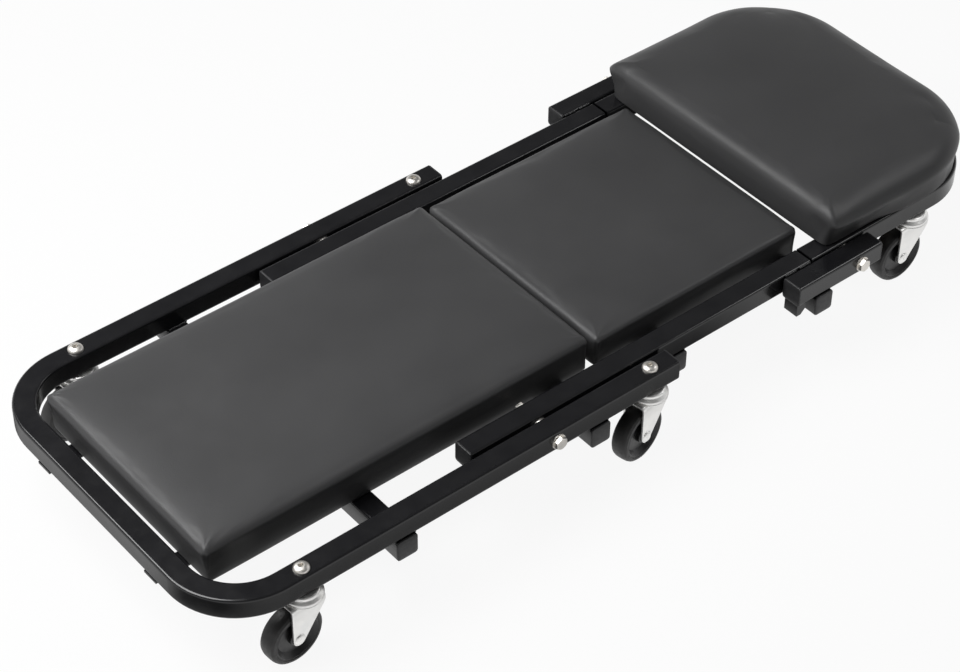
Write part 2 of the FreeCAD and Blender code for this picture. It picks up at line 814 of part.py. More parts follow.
for name, side in SIDES.items():
    across = f"{side} * inner_rail_offset"
    rail = long_tube(f"seat_rail_{name}", "inner_start_x", "inner_end_x", across, "rail_z")
    drill_across(rail, "knee_x - inner_start_x", "0", "bolt_hole")
seat_cross = cross_tube("seat_cross_tube", "seat_cross_x", "cross_z", "inner_face")
hinge_cross = cross_tube("hinge_cross_tube", "hinge_cross_x", "cross_z", "stub_face")
for tube in (seat_cross, hinge_cross):
    drill_upright(tube, strap_spots, "pad_screw_hole")
for name, side in SIDES.items():
    hinge_stub(f"hinge_stub_{name}", side)

gathered("seat_plugs", [
    plug(f"seat_plug_{name}_{end}", x, f"{side} * {y}", z, turn if turn in (0, 180) else turn * side)
    for name, side in SIDES.items()
    for end, x, y, z, turn in (
        ("rail", "inner_start_x", "inner_rail_offset", "rail_z", 180),
        ("cross", "seat_cross_x", "inner_face", "cross_z", 90),
        ("hinge", "hinge_cross_x", "stub_face", "cross_z", 90),
        ("stub_front", "stub_start_x", "stub_offset", "rail_z", 180),
        ("stub_end", "stub_end_x", "stub_offset", "rail_z", 0),
    )
])

# Head frame: a bent loop on two casters; their screws sit inside the tube, reached from above

head_frame = bent_frame("head_frame", "head_start_x", "head_end_x", "inner_rail_offset", 1)
head_caster_spots = [("head_caster_x", f"{side} * inner_rail_offset") for side in SIDES.values()]
head_screw_spots = [("head_x + head_screw_reach", f"{side} * head_screw_offset") for side in SIDES.values()]
head_screw_spots += [("head_end_x", f"{side} * head_screw_span") for side in SIDES.values()]
drill_across(head_frame, "head_x", "0", "bolt_hole")
drill_upright(head_frame, head_caster_spots, "stem_hole")
drill_upright(head_frame, head_screw_spots, "pad_screw_hole")
access = new_sketch(head_frame, "XY_Plane")
for across, along in head_caster_spots:
    circle(access, across, along, "stem_head_radius + side_play")
cut(head_frame, access, "tube_size", reverse=True)

# Pads and their screws

LEG_SCREWS = {
    "strap": ("leg_pad_x + pad_screw_strap_reach", "caster_height - strap_thickness", "strap_thickness"),
    "front": ("front_cross_x", "cross_bottom_z", "tube_size"),
    "stop": ("stop_cross_x", "cross_bottom_z", "tube_size"),
}
SEAT_SCREWS = {
    "cross": ("seat_cross_x", "cross_bottom_z", "tube_size"),
    "hinge": ("hinge_cross_x", "cross_bottom_z", "tube_size"),
}


def plain_corner(inset):
    return "pad_corner"


def head_front_corner(inset):
    return "head_pad_front_corner"


def head_end_corner(inset):
    return f"head_pad_end_corner - ({inset})"


for label, x, length, screws in (
    ("leg", "leg_pad_x", "leg_pad_length", LEG_SCREWS),
    ("seat", "seat_pad_x", "seat_pad_length", SEAT_SCREWS),
):
    spots = [(at, f"{side} * strap_offset") for at, _, _ in screws.values() for side in SIDES.values()]
    corners = (plain_corner, plain_corner)
    tuck = f"{label}_pad_tuck"
    board(f"{label}_pad_board", x, "caster_height", length, "pad_half_width", tuck, *corners, spots)
    form = (length, "pad_half_width", pad_levels(f"{label}_pad"), tuck)
    cushion(f"{label}_cushion", x, "caster_height", *form, *corners)
    gathered(f"{label}_pad_screws", [
        pad_screw(f"{label}_screw_{name}_{end}", at, f"{side} * strap_offset", seat_z, grip)
        for name, side in SIDES.items()
        for end, (at, seat_z, grip) in screws.items()
    ])

head_corners = (head_front_corner, head_end_corner)
head_outline = ("head_pad_x", "rail_top_z", "head_pad_length", "head_pad_half_width")
board("head_pad_board", *head_outline, "head_pad_tuck", *head_corners, head_screw_spots)
cushion("head_cushion", *head_outline, pad_levels("head_pad"), "head_pad_tuck", *head_corners)
gathered("head_pad_screws", [
    pad_screw(f"head_screw_{index}", across, along, "caster_height", "tube_size")
    for index, (across, along) in enumerate(head_screw_spots, start=1)
])

# Pivots

for joint, x, face, spacer in (
    ("knee", "knee_x", "outer_face", "knee_spacer"),
    ("head", "head_x", "stub_face", "head_spacer"),
):
    for name, side in SIDES.items():
        pivot_bolt(f"{joint}_bolt_{name}", x, face, spacer, side)
    pivot_washers(f"{joint}_washers", x, face, spacer)
    pivot_nuts(f"{joint}_nuts", x, face, spacer)

# Casters and their screws

for spot, x, offset, yaw in (
    ("front", "front_caster_x", "outer_rail_offset", "front_caster_yaw"),
    ("middle", "middle_caster_x", "outer_rail_offset", "middle_caster_yaw"),
    ("head", "head_caster_x", "inner_rail_offset", "head_caster_yaw"),
):
    for name, side in SIDES.items():
        caster(f"{spot}_caster_{name}", x, f"{side} * {offset}", yaw)

gathered("base_caster_screws", [
    stem_screw(f"base_caster_screw_{index}", across, along, "rail_top_z", "tube_size")
    for index, (across, along) in enumerate(base_caster_spots, start=1)
])
gathered("head_caster_screws", [
    stem_screw(f"head_caster_screw_{index}", across, along, "caster_height + tube_wall", "tube_wall")
    for index, (across, along) in enumerate(head_caster_spots, start=1)
])

# Check and write

doc.recompute()
for item in doc.Objects:
    if "Invalid" in item.State or "Error" in item.State:
        raise RuntimeError(f"{item.Label} did not build: {item.State}")
for node in nodes:
    if node.Shape.isNull() or not node.Shape.isValid():
        raise RuntimeError(f"{node.Label} is not a valid shape")

os.makedirs("parts", exist_ok=True)
for node in nodes:
    node.Shape.exportStep(f"parts/{node.Label}.step")
print(len(nodes), "pieces written")
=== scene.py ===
# %% [markdown]
# # A folding creeper seat
# A creeper is a low padded board on casters: a mechanic lies on it and rolls under a car.
# This one is hinged in three sections, so that it also folds into a seat.
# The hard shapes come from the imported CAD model, which is loaded as a fixed frame in metres.
# Blender adds what the CAD leaves plain: upholstery, rounded sheet metal, welds and finishes.

# %% Load the frame
import json
import math
import bmesh
import bpy
import numpy as np
from mathutils import Matrix, Vector

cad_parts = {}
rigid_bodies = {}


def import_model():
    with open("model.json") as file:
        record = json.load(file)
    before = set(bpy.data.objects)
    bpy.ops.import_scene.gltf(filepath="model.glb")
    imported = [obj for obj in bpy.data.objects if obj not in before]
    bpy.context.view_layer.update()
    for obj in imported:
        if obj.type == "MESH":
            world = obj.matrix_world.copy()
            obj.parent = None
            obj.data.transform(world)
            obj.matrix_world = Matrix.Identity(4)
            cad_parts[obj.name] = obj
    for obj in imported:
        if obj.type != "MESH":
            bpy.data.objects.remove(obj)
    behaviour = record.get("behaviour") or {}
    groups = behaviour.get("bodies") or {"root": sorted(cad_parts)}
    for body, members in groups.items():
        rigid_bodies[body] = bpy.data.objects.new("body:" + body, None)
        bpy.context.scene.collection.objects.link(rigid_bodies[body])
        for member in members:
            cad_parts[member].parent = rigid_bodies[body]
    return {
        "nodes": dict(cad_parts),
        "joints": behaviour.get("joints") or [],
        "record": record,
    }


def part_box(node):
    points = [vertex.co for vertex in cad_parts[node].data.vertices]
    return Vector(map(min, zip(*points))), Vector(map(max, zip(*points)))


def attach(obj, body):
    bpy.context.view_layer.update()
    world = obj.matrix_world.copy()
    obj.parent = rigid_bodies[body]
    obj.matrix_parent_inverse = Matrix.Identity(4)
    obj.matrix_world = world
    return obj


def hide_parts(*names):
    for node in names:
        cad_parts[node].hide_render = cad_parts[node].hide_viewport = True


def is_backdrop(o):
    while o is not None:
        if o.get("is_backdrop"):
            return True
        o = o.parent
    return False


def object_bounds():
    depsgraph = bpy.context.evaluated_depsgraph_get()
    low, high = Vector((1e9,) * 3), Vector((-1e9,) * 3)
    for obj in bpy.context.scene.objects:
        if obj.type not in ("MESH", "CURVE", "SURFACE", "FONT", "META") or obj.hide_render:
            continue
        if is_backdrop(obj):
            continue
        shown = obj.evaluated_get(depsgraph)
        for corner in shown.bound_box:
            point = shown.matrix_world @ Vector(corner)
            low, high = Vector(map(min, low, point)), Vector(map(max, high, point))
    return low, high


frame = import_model()
cad_low, cad_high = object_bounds()
MM = 0.001
SIDES = {"near": -1, "far": 1}

# %% [markdown]
# ## Camera
# The photograph is a three-quarter view from the near left, looking down at about 42 degrees through
# a long lens. The place, turn and lens below were solved from the straight tubes of the frame.
# A small lens shift puts the object where it sits in the picture.

# %% Camera
camera_data = bpy.data.cameras.new("camera")
camera_data.sensor_width = 36.0
camera_data.lens = 97.35
camera_data.shift_x = -0.0084
camera_data.shift_y = -0.0113
camera_data.clip_end = 50.0
camera = bpy.data.objects.new("camera", camera_data)
bpy.context.scene.collection.objects.link(camera)
turn, rise, roll = math.radians(-39.70), math.radians(41.99), math.radians(0.56)
back = Vector((math.sin(turn) * math.cos(rise), -math.cos(turn) * math.cos(rise), math.sin(rise)))
camera.location = (-1.3627, -1.5838, 1.9147)
camera.rotation_mode = "QUATERNION"
camera.rotation_quaternion = (-back).to_track_quat("-Z", "Y") @ Matrix.Rotation(roll, 3, "Z").to_quaternion()
bpy.context.scene.camera = camera
print("camera at", tuple(round(value, 3) for value in camera.location))

# %% [markdown]
# ## Light and floor
# The picture is a plain product shot: a big soft light above, two small ones that lift the head pad's
# shoulder and the front end, and a white ground. The ground is white to the camera and in reflections,
# through the Light Path node, so that the black object isn't lit by a glowing floor, and it still takes a
# soft shadow. In reflections it is dark under and beside the board, where the board hides the studio from
# it, except close to the wheels. The studio's ceiling is dim, which keeps the tops of the tubes black.

# %% Light and floor
scene = bpy.context.scene
scene.view_settings.view_transform = "Standard"
WORLD_LIGHT = 0.13
FLOOR_GREY = 0.35
FLOOR_GLOW = 1.08
GLOW_SHARE = 0.85
SHADED_FLOOR = 0.05
WHEEL_RAYS = (0.10, 0.13)


def add(tree, kind, inputs=None, **settings):
    """A node with its settings; an input is a number, a colour or another node's output."""
    made = tree.nodes.new(kind)
    for key, value in settings.items():
        setattr(made, key, value)
    for key, value in (inputs or {}).items():
        if isinstance(value, bpy.types.NodeSocket):
            tree.links.new(value, made.inputs[key])
        else:
            made.inputs[key].default_value = value
    return made


def seen_white(tree):
    """1 for rays from the camera, in reflections and through glass; 0 for rays that carry light."""
    path = add(tree, "ShaderNodeLightPath").outputs
    direct = {0: path["Is Camera Ray"], 1: path["Is Glossy Ray"]}
    first = add(tree, "ShaderNodeMath", direct, operation="MAXIMUM")
    both = {0: first.outputs[0], 1: path["Is Transmission Ray"]}
    return add(tree, "ShaderNodeMath", both, operation="MAXIMUM").outputs[0]


def outside_box(tree, centre, half, ramp):
    """How far a floor point lies outside a box, as parts of the ramp along each axis."""
    place = add(tree, "ShaderNodeNewGeometry").outputs["Position"]
    moved = add(tree, "ShaderNodeVectorMath", {0: place, 1: centre}, operation="SUBTRACT")
    spot = add(tree, "ShaderNodeVectorMath", {0: moved.outputs[0]}, operation="ABSOLUTE")
    beyond = add(tree, "ShaderNodeVectorMath", {0: spot.outputs[0], 1: half}, operation="SUBTRACT")
    clear = add(tree, "ShaderNodeVectorMath", {0: beyond.outputs[0], 1: (0.0, 0.0, 0.0)}, operation="MAXIMUM")
    paced = add(tree, "ShaderNodeVectorMath", {0: clear.outputs[0], 1: ramp}, operation="DIVIDE")
    return add(tree, "ShaderNodeVectorMath", {0: paced.outputs[0]}, operation="LENGTH").outputs["Value"]


def soft_light(name, place, target, width, height, power):
    """A rectangular lamp at a place, turned to a target."""
    data = bpy.data.lights.new(name, "AREA")
    data.shape = "RECTANGLE"
    data.size = width
    data.size_y = height
    data.energy = power
    lamp = bpy.data.objects.new(name, data)
    lamp.location = place
    lamp.rotation_mode = "QUATERNION"
    lamp.rotation_quaternion = (Vector(target) - Vector(place)).to_track_quat("-Z", "Y")
    scene.collection.objects.link(lamp)


soft_light("top_light", (-0.9, 0.5, 1.6), (-0.1, 0.0, 0.1), 1.4, 1.2, 44.0)
soft_light("head_light", (0.80, -0.42, 0.80), (0.42, -0.17, 0.15), 0.6, 0.2, 1.7)
soft_light("front_light", (-0.85, 0.55, 0.80), (-0.45, 0.05, 0.13), 0.9, 0.25, 1.4)

world = bpy.data.worlds.new("studio")
world.use_nodes = True
scene.world = world
sky = world.node_tree
look = add(sky, "ShaderNodeSeparateXYZ", {"Vector": add(sky, "ShaderNodeTexCoord").outputs["Generated"]})
dome = {"Value": look.outputs["Z"], "From Min": 0.1, "From Max": 0.45, "To Min": 1.0, "To Max": 0.14}
studio = add(sky, "ShaderNodeMapRange", dome).outputs[0]
to_camera = add(sky, "ShaderNodeLightPath").outputs["Is Camera Ray"]
lit = add(sky, "ShaderNodeMix", {0: seen_white(sky), 2: WORLD_LIGHT, 3: studio})
level = add(sky, "ShaderNodeMath", {0: lit.outputs[0], 1: to_camera}, operation="MAXIMUM")
sky.links.new(level.outputs[0], sky.nodes["Background"].inputs["Strength"])
sky.nodes["Background"].inputs["Color"].default_value = (1.0, 1.0, 1.0, 1.0)

floor_mesh = bpy.data.meshes.new("floor")
floor_mesh.from_pydata([(-9, -9, 0), (9, -9, 0), (9, 9, 0), (-9, 9, 0)], [], [(0, 1, 2, 3)])
floor = bpy.data.objects.new("floor", floor_mesh)
scene.collection.objects.link(floor)
ground = bpy.data.materials.new("studio_floor")
ground.use_nodes = True
tree = ground.node_tree
paper = add(tree, "ShaderNodeBsdfDiffuse", {"Color": (FLOOR_GREY, FLOOR_GREY, FLOOR_GREY, 1.0)})
# Painted shadow: for reflected rays the floor's glow is dimmed down to SHADED_FLOOR under and beside the
# board by two box masks, standing in for the board's shade
under_board = outside_box(tree, (0.0, 0.12, 0.0), (0.52, 0.22, 1.0), (0.09, 0.20, 1.0))
near_side = outside_box(tree, (-0.32, -0.17, 0.0), (0.47, 0.07, 1.0), (0.15, 0.12, 1.0))
away = add(tree, "ShaderNodeMath", {0: under_board, 1: near_side}, operation="MINIMUM")
shade = {"Value": away.outputs[0], "To Min": SHADED_FLOOR, "To Max": 1.0}
open_floor = add(tree, "ShaderNodeMapRange", shade).outputs[0]
# Painted reflection: close to the wheels, short reflected rays see the floor bright again, a painted bright
# patch in the floor's glow
path = add(tree, "ShaderNodeLightPath").outputs
short_ray = {"Value": path["Ray Length"], "To Min": 1.0, "To Max": 0.0}
short_ray["From Min"], short_ray["From Max"] = WHEEL_RAYS
at_wheels = {0: open_floor, 1: add(tree, "ShaderNodeMapRange", short_ray).outputs[0]}
reflected = add(tree, "ShaderNodeMath", at_wheels, operation="MAXIMUM")
straight = {0: path["Is Camera Ray"], 1: reflected.outputs[0]}
bright = add(tree, "ShaderNodeMath", straight, operation="MAXIMUM")
strength = add(tree, "ShaderNodeMath", {0: bright.outputs[0], 1: FLOOR_GLOW}, operation="MULTIPLY")
glow = add(tree, "ShaderNodeEmission", {"Color": (1.0, 1.0, 1.0, 1.0), "Strength": strength.outputs[0]})
share = add(tree, "ShaderNodeMath", {0: seen_white(tree), 1: GLOW_SHARE}, operation="MULTIPLY")
mix = add(tree, "ShaderNodeMixShader", {0: share.outputs[0], 1: paper.outputs[0], 2: glow.outputs[0]})
tree.links.new(mix.outputs[0], tree.nodes["Material Output"].inputs["Surface"])
floor_mesh.materials.append(ground)
floor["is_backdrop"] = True

# %% [markdown]
# ## Finishes
# Each finish is a Principled shader fed by noise in Object coordinates, so that it is the same size on
# every piece. The tube has a sprayed black coat with a faint orange peel. The pads have a satin vinyl with
# a fine pebble grain. The casters and screws are zinc plated: bright on the pressed sheet, duller on screws.

# %% Finishes: helpers
def new_finish(name):
    finish = bpy.data.materials.new(name)
    finish.use_nodes = True
    tree = finish.node_tree
    return finish, tree, tree.nodes["Principled BSDF"], add(tree, "ShaderNodeTexCoord").outputs["Object"]


def noise(tree, where, scale, detail=2.0):
    inputs = {"Vector": where, "Scale": scale, "Detail": detail}
    return add(tree, "ShaderNodeTexNoise", inputs).outputs["Fac"]


def spread(tree, amount, low, high, start=0.3, end=0.7):
    inputs = {"Value": amount, "From Min": start, "From Max": end, "To Min": low, "To Max": high}
    return add(tree, "ShaderNodeMapRange", inputs).outputs[0]


def shades(tree, amount, dark, light):
    """A colour between two, by an amount from 0 to 1."""
    ramp = add(tree, "ShaderNodeValToRGB", {"Fac": amount})
    for stop, place, colour in zip(ramp.color_ramp.elements, (0.3, 0.7), (dark, light)):
        stop.position = place
        stop.color = (*colour, 1.0)
    return ramp.outputs["Color"]


def bumps(tree, bsdf, height, strength, depth):
    inputs = {"Height": height, "Strength": strength, "Distance": depth}
    tree.links.new(add(tree, "ShaderNodeBump", inputs).outputs[0], bsdf.inputs["Normal"])


def grained(name, dark, light, patch, rough, grain, strength, depth, metallic=0.0):
    """A finish with cloudy colour, uneven gloss and a fine grain of its own size."""
    finish, tree, bsdf, where = new_finish(name)
    cloud = noise(tree, where, patch, 4.0)
    tree.links.new(shades(tree, cloud, dark, light), bsdf.inputs["Base Color"])
    tree.links.new(spread(tree, noise(tree, where, patch * 2.3, 3.0), *rough), bsdf.inputs["Roughness"])
    bsdf.inputs["Metallic"].default_value = metallic
    bumps(tree, bsdf, noise(tree, where, grain, 2.0), strength, depth)
    return finish


# %% Finishes: paint, plating, plastic and rubber
PAINT = grained(
    "black_frame_paint", (0.006, 0.006, 0.007), (0.010, 0.010, 0.011),
    patch=30.0, rough=(0.14, 0.24), grain=900.0, strength=0.05, depth=0.0003,
)
PLATE = grained(
    "bright_zinc_plate", (0.84, 0.84, 0.83), (0.92, 0.91, 0.89),
    patch=60.0, rough=(0.36, 0.50), grain=1400.0, strength=0.05, depth=0.0002, metallic=1.0,
)
SCREW = grained(
    "dull_zinc_plate", (0.66, 0.64, 0.61), (0.80, 0.77, 0.72),
    patch=140.0, rough=(0.34, 0.48), grain=2200.0, strength=0.08, depth=0.0002, metallic=1.0,
)
PLUG = grained(
    "matte_plug_plastic", (0.012, 0.012, 0.013), (0.02, 0.02, 0.021),
    patch=120.0, rough=(0.42, 0.55), grain=1800.0, strength=0.2, depth=0.0002,
)
TYRE = grained(
    "wheel_rubber", (0.014, 0.014, 0.014), (0.026, 0.025, 0.025),
    patch=80.0, rough=(0.42, 0.58), grain=1500.0, strength=0.18, depth=0.0003,
)
CORE = grained(
    "wheel_core_plastic", (0.007, 0.007, 0.008), (0.012, 0.012, 0.013),
    patch=90.0, rough=(0.3, 0.42), grain=1800.0, strength=0.1, depth=0.0002,
)

# %% Finishes: vinyl and plywood
VINYL, tree, bsdf, where = new_finish("black_pad_vinyl")
cloud = noise(tree, where, 7.0, 3.0)
tree.links.new(shades(tree, cloud, (0.042, 0.042, 0.043), (0.050, 0.050, 0.051)), bsdf.inputs["Base Color"])
tree.links.new(spread(tree, noise(tree, where, 26.0, 3.0), 0.36, 0.46), bsdf.inputs["Roughness"])
pebble_inputs = {"Vector": where, "Scale": 620.0}
pebble = add(tree, "ShaderNodeTexVoronoi", pebble_inputs, feature="SMOOTH_F1").outputs["Distance"]
crease = noise(tree, where, 210.0, 3.0)
height = add(tree, "ShaderNodeMath", {0: pebble, 1: crease}, operation="ADD").outputs[0]
bsdf.inputs["Specular IOR Level"].default_value = 0.25
bumps(tree, bsdf, height, 0.16, 0.0003)

PLY, tree, bsdf, where = new_finish("raw_plywood")
along = add(tree, "ShaderNodeMapping", {"Vector": where, "Scale": (6.0, 90.0, 90.0)}).outputs[0]
fibre = noise(tree, along, 3.0, 6.0)
tree.links.new(shades(tree, fibre, (0.36, 0.24, 0.14), (0.58, 0.44, 0.28)), bsdf.inputs["Base Color"])
bsdf.inputs["Roughness"].default_value = 0.7
bumps(tree, bsdf, fibre, 0.15, 0.0005)

CAD_FINISHES = {
    "frame_paint": PAINT,
    "vinyl": VINYL,
    "plywood": PLY,
    "plug_plastic": PLUG,
    "wheel_rubber": TYRE,
    "caster_zinc": PLATE,
    "fastener_zinc": SCREW,
}
for part in frame["record"]["subparts"]:
    node_mesh = frame["nodes"][part["node"]].data
    node_mesh.materials.clear()
    node_mesh.materials.append(CAD_FINISHES[part["material_slot"]])
print("finishes:", len(bpy.data.materials))

# %% [markdown]
# ## Rings
# Most small parts are turned or pressed, so one helper builds them: a stack of closed rings, each with the
# same number of points, joined into a skin. A ring can be round, hexagonal or a rounded square, and a stack
# may change from one to another, which is what a hex head with a round chamfer or a screw's socket needs.

# %% Rings
POINTS = 48


def made_mesh(name, work, smooth=True):
    """A mesh in metres from shapes in millimetres."""
    mesh = bpy.data.meshes.new(name)
    work.to_mesh(mesh)
    work.free()
    mesh.polygons.foreach_set("use_smooth", [smooth] * len(mesh.polygons))
    mesh.transform(Matrix.Scale(MM, 4))
    return mesh


def baked(holder):
    """The mesh of an object after its modifiers; the object itself goes."""
    graph = bpy.context.evaluated_depsgraph_get()
    mesh = bpy.data.meshes.new_from_object(holder.evaluated_get(graph))
    bpy.data.objects.remove(holder)
    return mesh


def hex_reach(flats):
    def reach(turn):
        within = (turn + math.pi / 6) % (math.pi / 3) - math.pi / 6
        return flats / 2 / math.cos(within)
    return reach


def square_reach(half, corner):
    def reach(turn):
        across, up = abs(math.cos(turn)), abs(math.sin(turn))
        flat = half / max(across, up)
        inner = half - corner
        if min(across, up) * flat <= inner:
            return flat
        middle = inner * (across + up)
        return middle + math.sqrt(max(middle * middle - 2 * inner * inner + corner * corner, 0.0))
    return reach


def stack(name, rings, sharp=35.0):
    """A closed skin over rings of (reach, height); a reach of 0 closes the stack with a point."""
    work = bmesh.new()
    layers = []
    for reach, height in rings:
        if reach == 0:
            layers.append([work.verts.new((0, 0, height(0) if callable(height) else height))])
            continue
        layer = []
        for index in range(POINTS):
            t = 2 * math.pi * index / POINTS
            radius = reach(t) if callable(reach) else reach
            z = height(t) if callable(height) else height
            layer.append(work.verts.new((radius * math.cos(t), radius * math.sin(t), z)))
        layers.append(layer)
    for low, high in zip(layers, layers[1:]):
        for index in range(POINTS):
            following = (index + 1) % POINTS
            corners = [low[index % len(low)], low[following % len(low)]]
            corners += [high[following % len(high)], high[index % len(high)]]
            work.faces.new(list(dict.fromkeys(corners)))
    bmesh.ops.recalc_face_normals(work, faces=work.faces)
    mesh = made_mesh(name, work)
    mesh.set_sharp_from_angle(angle=math.radians(sharp))
    return mesh


def rounded(profile, radius):
    """A profile of (reach, height) with its inner corners turned into small arcs."""
    made = [profile[0]]
    for before, here, after in zip(profile, profile[1:], profile[2:]):
        p, q, r = Vector(before), Vector(here), Vector(after)
        one, two = (p - q), (r - q)
        size = min(radius, one.length / 2.2, two.length / 2.2)
        start, end = q + one.normalized() * size, q + two.normalized() * size
        for share in (0.0, 0.33, 0.67, 1.0):
            point = start.lerp(q, share).lerp(q.lerp(end, share), share)
            made.append((point.x, point.y))
    made.append(profile[-1])
    return made


def joined(name, meshes):
    """Several meshes as one, with their materials kept."""
    work = bmesh.new()
    made = bpy.data.meshes.new(name)
    for mesh in meshes:
        first = len(work.faces)
        offset = len(made.materials)
        for finish in mesh.materials:
            made.materials.append(finish)
        work.from_mesh(mesh)
        work.faces.ensure_lookup_table()
        for face in work.faces[first:]:
            face.material_index += offset
    work.to_mesh(made)
    work.free()
    return made


def piece(name, mesh, body, slot, finish=None, replaced=()):
    """A finished piece at the origin that rides on a body and stands for CAD nodes."""
    if finish:
        mesh.materials.clear()
        mesh.materials.append(finish)
    made = bpy.data.objects.new(name, mesh)
    scene.collection.objects.link(made)
    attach(made, body)
    if replaced:
        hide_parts(*replaced)
    return made


# %% [markdown]
# ## Pads
# A pad is a board with foam on it and vinyl pulled over and stapled underneath. The long pads are flat with
# a tight edge; the head pad is thicker and softer, with a big round end. Each cover starts as a grid
# that is bent to the pad's outline, with rings for the edge, the side and the hem under the board.
# A short cloth simulation with air pressure then swells it, so that the crown and the sides look filled.

# %% Pads: the shell
EDGE_RINGS = 6
SIDE_RINGS = 7
FINE_STEP, COARSE_STEP = 2.5, 8.0
HEM = 24.0
MITRE = 0.85
SHARP_CORNER = 10.0
PINCH_REACH = 75.0
FOLD_RADIUS = 7.0
LATE_TUCK = (70.0, 125.0)


def grid_lines(low, high, corner):
    """Places along one side of a pad: close together at its ends, wider between."""
    in_corner = [0.0, corner * 0.33, corner * 0.67, corner]
    ends = np.array(in_corner + [corner + FINE_STEP * steps for steps in (1, 2, 4)])
    count = round((high - low - 2 * ends[-1]) / COARSE_STEP)
    between = np.linspace(low + ends[-1], high - ends[-1], count + 1)[1:-1]
    return np.concatenate([low + ends, between, high - ends[::-1]])


def bend_corner(x, y, box, start_corner, end_corner):
    """Moves a point of a rectangle into the rounded outline, with its outward direction there."""
    x0, x1, half = box
    side = 1.0 if y >= 0 else -1.0
    corner, sign, edge = (start_corner, -1.0, x0) if x < (x0 + x1) / 2 else (end_corner, 1.0, x1)
    s = (sign * (x - edge) + corner) / corner
    t = (abs(y) - half + corner) / corner
    if s <= 0 and t <= 0:
        return x, y, (0.0, 0.0)
    if s <= 0:
        return x, y, (0.0, side)
    if t <= 0:
        return x, y, (sign, 0.0)
    u, v = s * math.sqrt(1 - t * t / 2), t * math.sqrt(1 - s * s / 2)
    reach = max(math.hypot(u, v), 1e-9)
    place = (edge + sign * (u - 1) * corner, side * (half - corner + v * corner))
    mitre = (max(u, v) / reach) ** (MITRE if corner < SHARP_CORNER else 0.0)
    return place[0], place[1], (sign * u / reach / mitre, side * v / reach / mitre)


def rise_in(distance, reach):
    """From 0 at an edge to 1 at a reach inside it, level there."""
    share = min(distance / reach, 1.0)
    return share * (2 - share)


def fade(value, low, high):
    """From 0 at a low value to 1 at a high one, level at both."""
    share = np.clip((value - low) / (high - low), 0.0, 1.0)
    return share * share * (3 - 2 * share)


def pad_rings():
    """The rings below a pad's rim: parts of the edge, of its fall and of the tuck, the hem,
    part of the wall's height and more height."""
    rings = []
    for index in range(1, EDGE_RINGS + 1):
        t = math.pi / 2 * index / EDGE_RINGS
        rings.append((math.sin(t), math.cos(t), 0.0, 0.0, 1.0, 0.0))
    for index in range(1, SIDE_RINGS + 1):
        share = index / SIDE_RINGS
        rings.append((1.0, 0.0, 1 - (1 - share) ** 2, 0.0, 1.0 - share, 1.5 * share))
    for hem, height in ((0.5, 0.4), (1.8, 0.0), (HEM / 2, 0.0), (HEM, 0.0), (HEM, 1.0), (HEM + 1, 4.0)):
        rings.append((1.0, 0.0, 1.0, hem, 0.0, height))
    return rings


def pad_shell(name, spec):
    """The cover of a pad: a crowned top, a round edge, sides that draw in and a hem under the board."""
    edge, front_edge = spec["edge"], spec["front_edge"]
    box = (spec["x0"] + front_edge, spec["x1"] - edge, spec["half"] - edge)
    middle = (box[0] + box[1]) / 2
    start, end = spec["start_corner"], spec["end_corner"]
    xs = grid_lines(box[0], box[1], start)
    ys = grid_lines(-box[2], box[2], start)
    work = bmesh.new()
    points, normals = {}, {}
    for i, x in enumerate(xs):
        for j, y in enumerate(ys):
            px, py, normals[i, j] = bend_corner(x, y, box, start, end)
            to_end, to_side = min(x - box[0], box[1] - x), box[2] - abs(y)
            to_corner = x - box[0] if end > SHARP_CORNER else to_end
            pinch = (1 - rise_in(to_corner, PINCH_REACH)) * (1 - rise_in(to_side, PINCH_REACH))
            lift = spec["crown"] * rise_in(to_end, spec["reach"]) * rise_in(to_side, spec["reach"])
            height = spec["rim"] + lift - spec["dip"] * pinch
            px += math.copysign(spec["pinch"], middle - x) * pinch
            py -= math.copysign(spec["pinch"], y) * pinch
            points[i, j] = work.verts.new((px, py, spec["z"] + height))
    for i in range(len(xs) - 1):
        for j in range(len(ys) - 1):
            work.faces.new([points[i, j], points[i + 1, j], points[i + 1, j + 1], points[i, j + 1]])
    last_i, last_j = len(xs) - 1, len(ys) - 1
    rim = [(i, 0) for i in range(last_i)] + [(last_i, j) for j in range(last_j)]
    rim += [(i, last_j) for i in range(last_i, 0, -1)] + [(0, j) for j in range(last_j, 0, -1)]
    layer = [points[key] for key in rim]
    pinned = []
    for out, fall, tucked, hem, wall, more in pad_rings():
        lower = []
        for key in rim:
            corner, (nx, ny) = points[key].co, normals[key]
            ahead = nx * nx / (nx * nx + ny * ny) if nx < 0 else 0.0
            drop = spec["front_drop"] * ahead + spec["drop"] * (1 - ahead)
            reach, tuck = (front_edge, spec["front_tuck"]) if nx < 0 else (edge, spec["end_tuck"])
            across = nx * (reach * out - tuck * tucked - hem)
            late = fade(corner.x - spec["x0"], *LATE_TUCK)
            side_tuck = spec["tuck"] + (spec["late_tuck"] - spec["tuck"]) * late
            along = ny * (edge * out - side_tuck * tucked - hem)
            height = wall * (corner.z - spec["z"] - drop) + drop * fall + more
            lower.append(work.verts.new((corner.x + across, corner.y + along, spec["z"] + height)))
        for index in range(len(rim)):
            following = (index + 1) % len(rim)
            work.faces.new([layer[following], layer[index], lower[index], lower[following]])
        layer = lower
        if wall == 0.0:
            pinned += lower
    work.verts.index_update()
    pins = [vertex.index for vertex in pinned]
    bmesh.ops.recalc_face_normals(work, faces=work.faces)
    return made_mesh(name, work), pins


# %% Pads: swelling the cover
FRAMES = 12
EVEN_CORE, EVEN_REACH = 8.0, 36.0
EVEN_ROUNDS = 12


def coordinates(mesh):
    places = np.empty(len(mesh.vertices) * 3)
    mesh.vertices.foreach_get("co", places)
    return places.reshape(-1, 3)


def move_points(mesh, places):
    mesh.vertices.foreach_set("co", places.ravel())
    mesh.update()


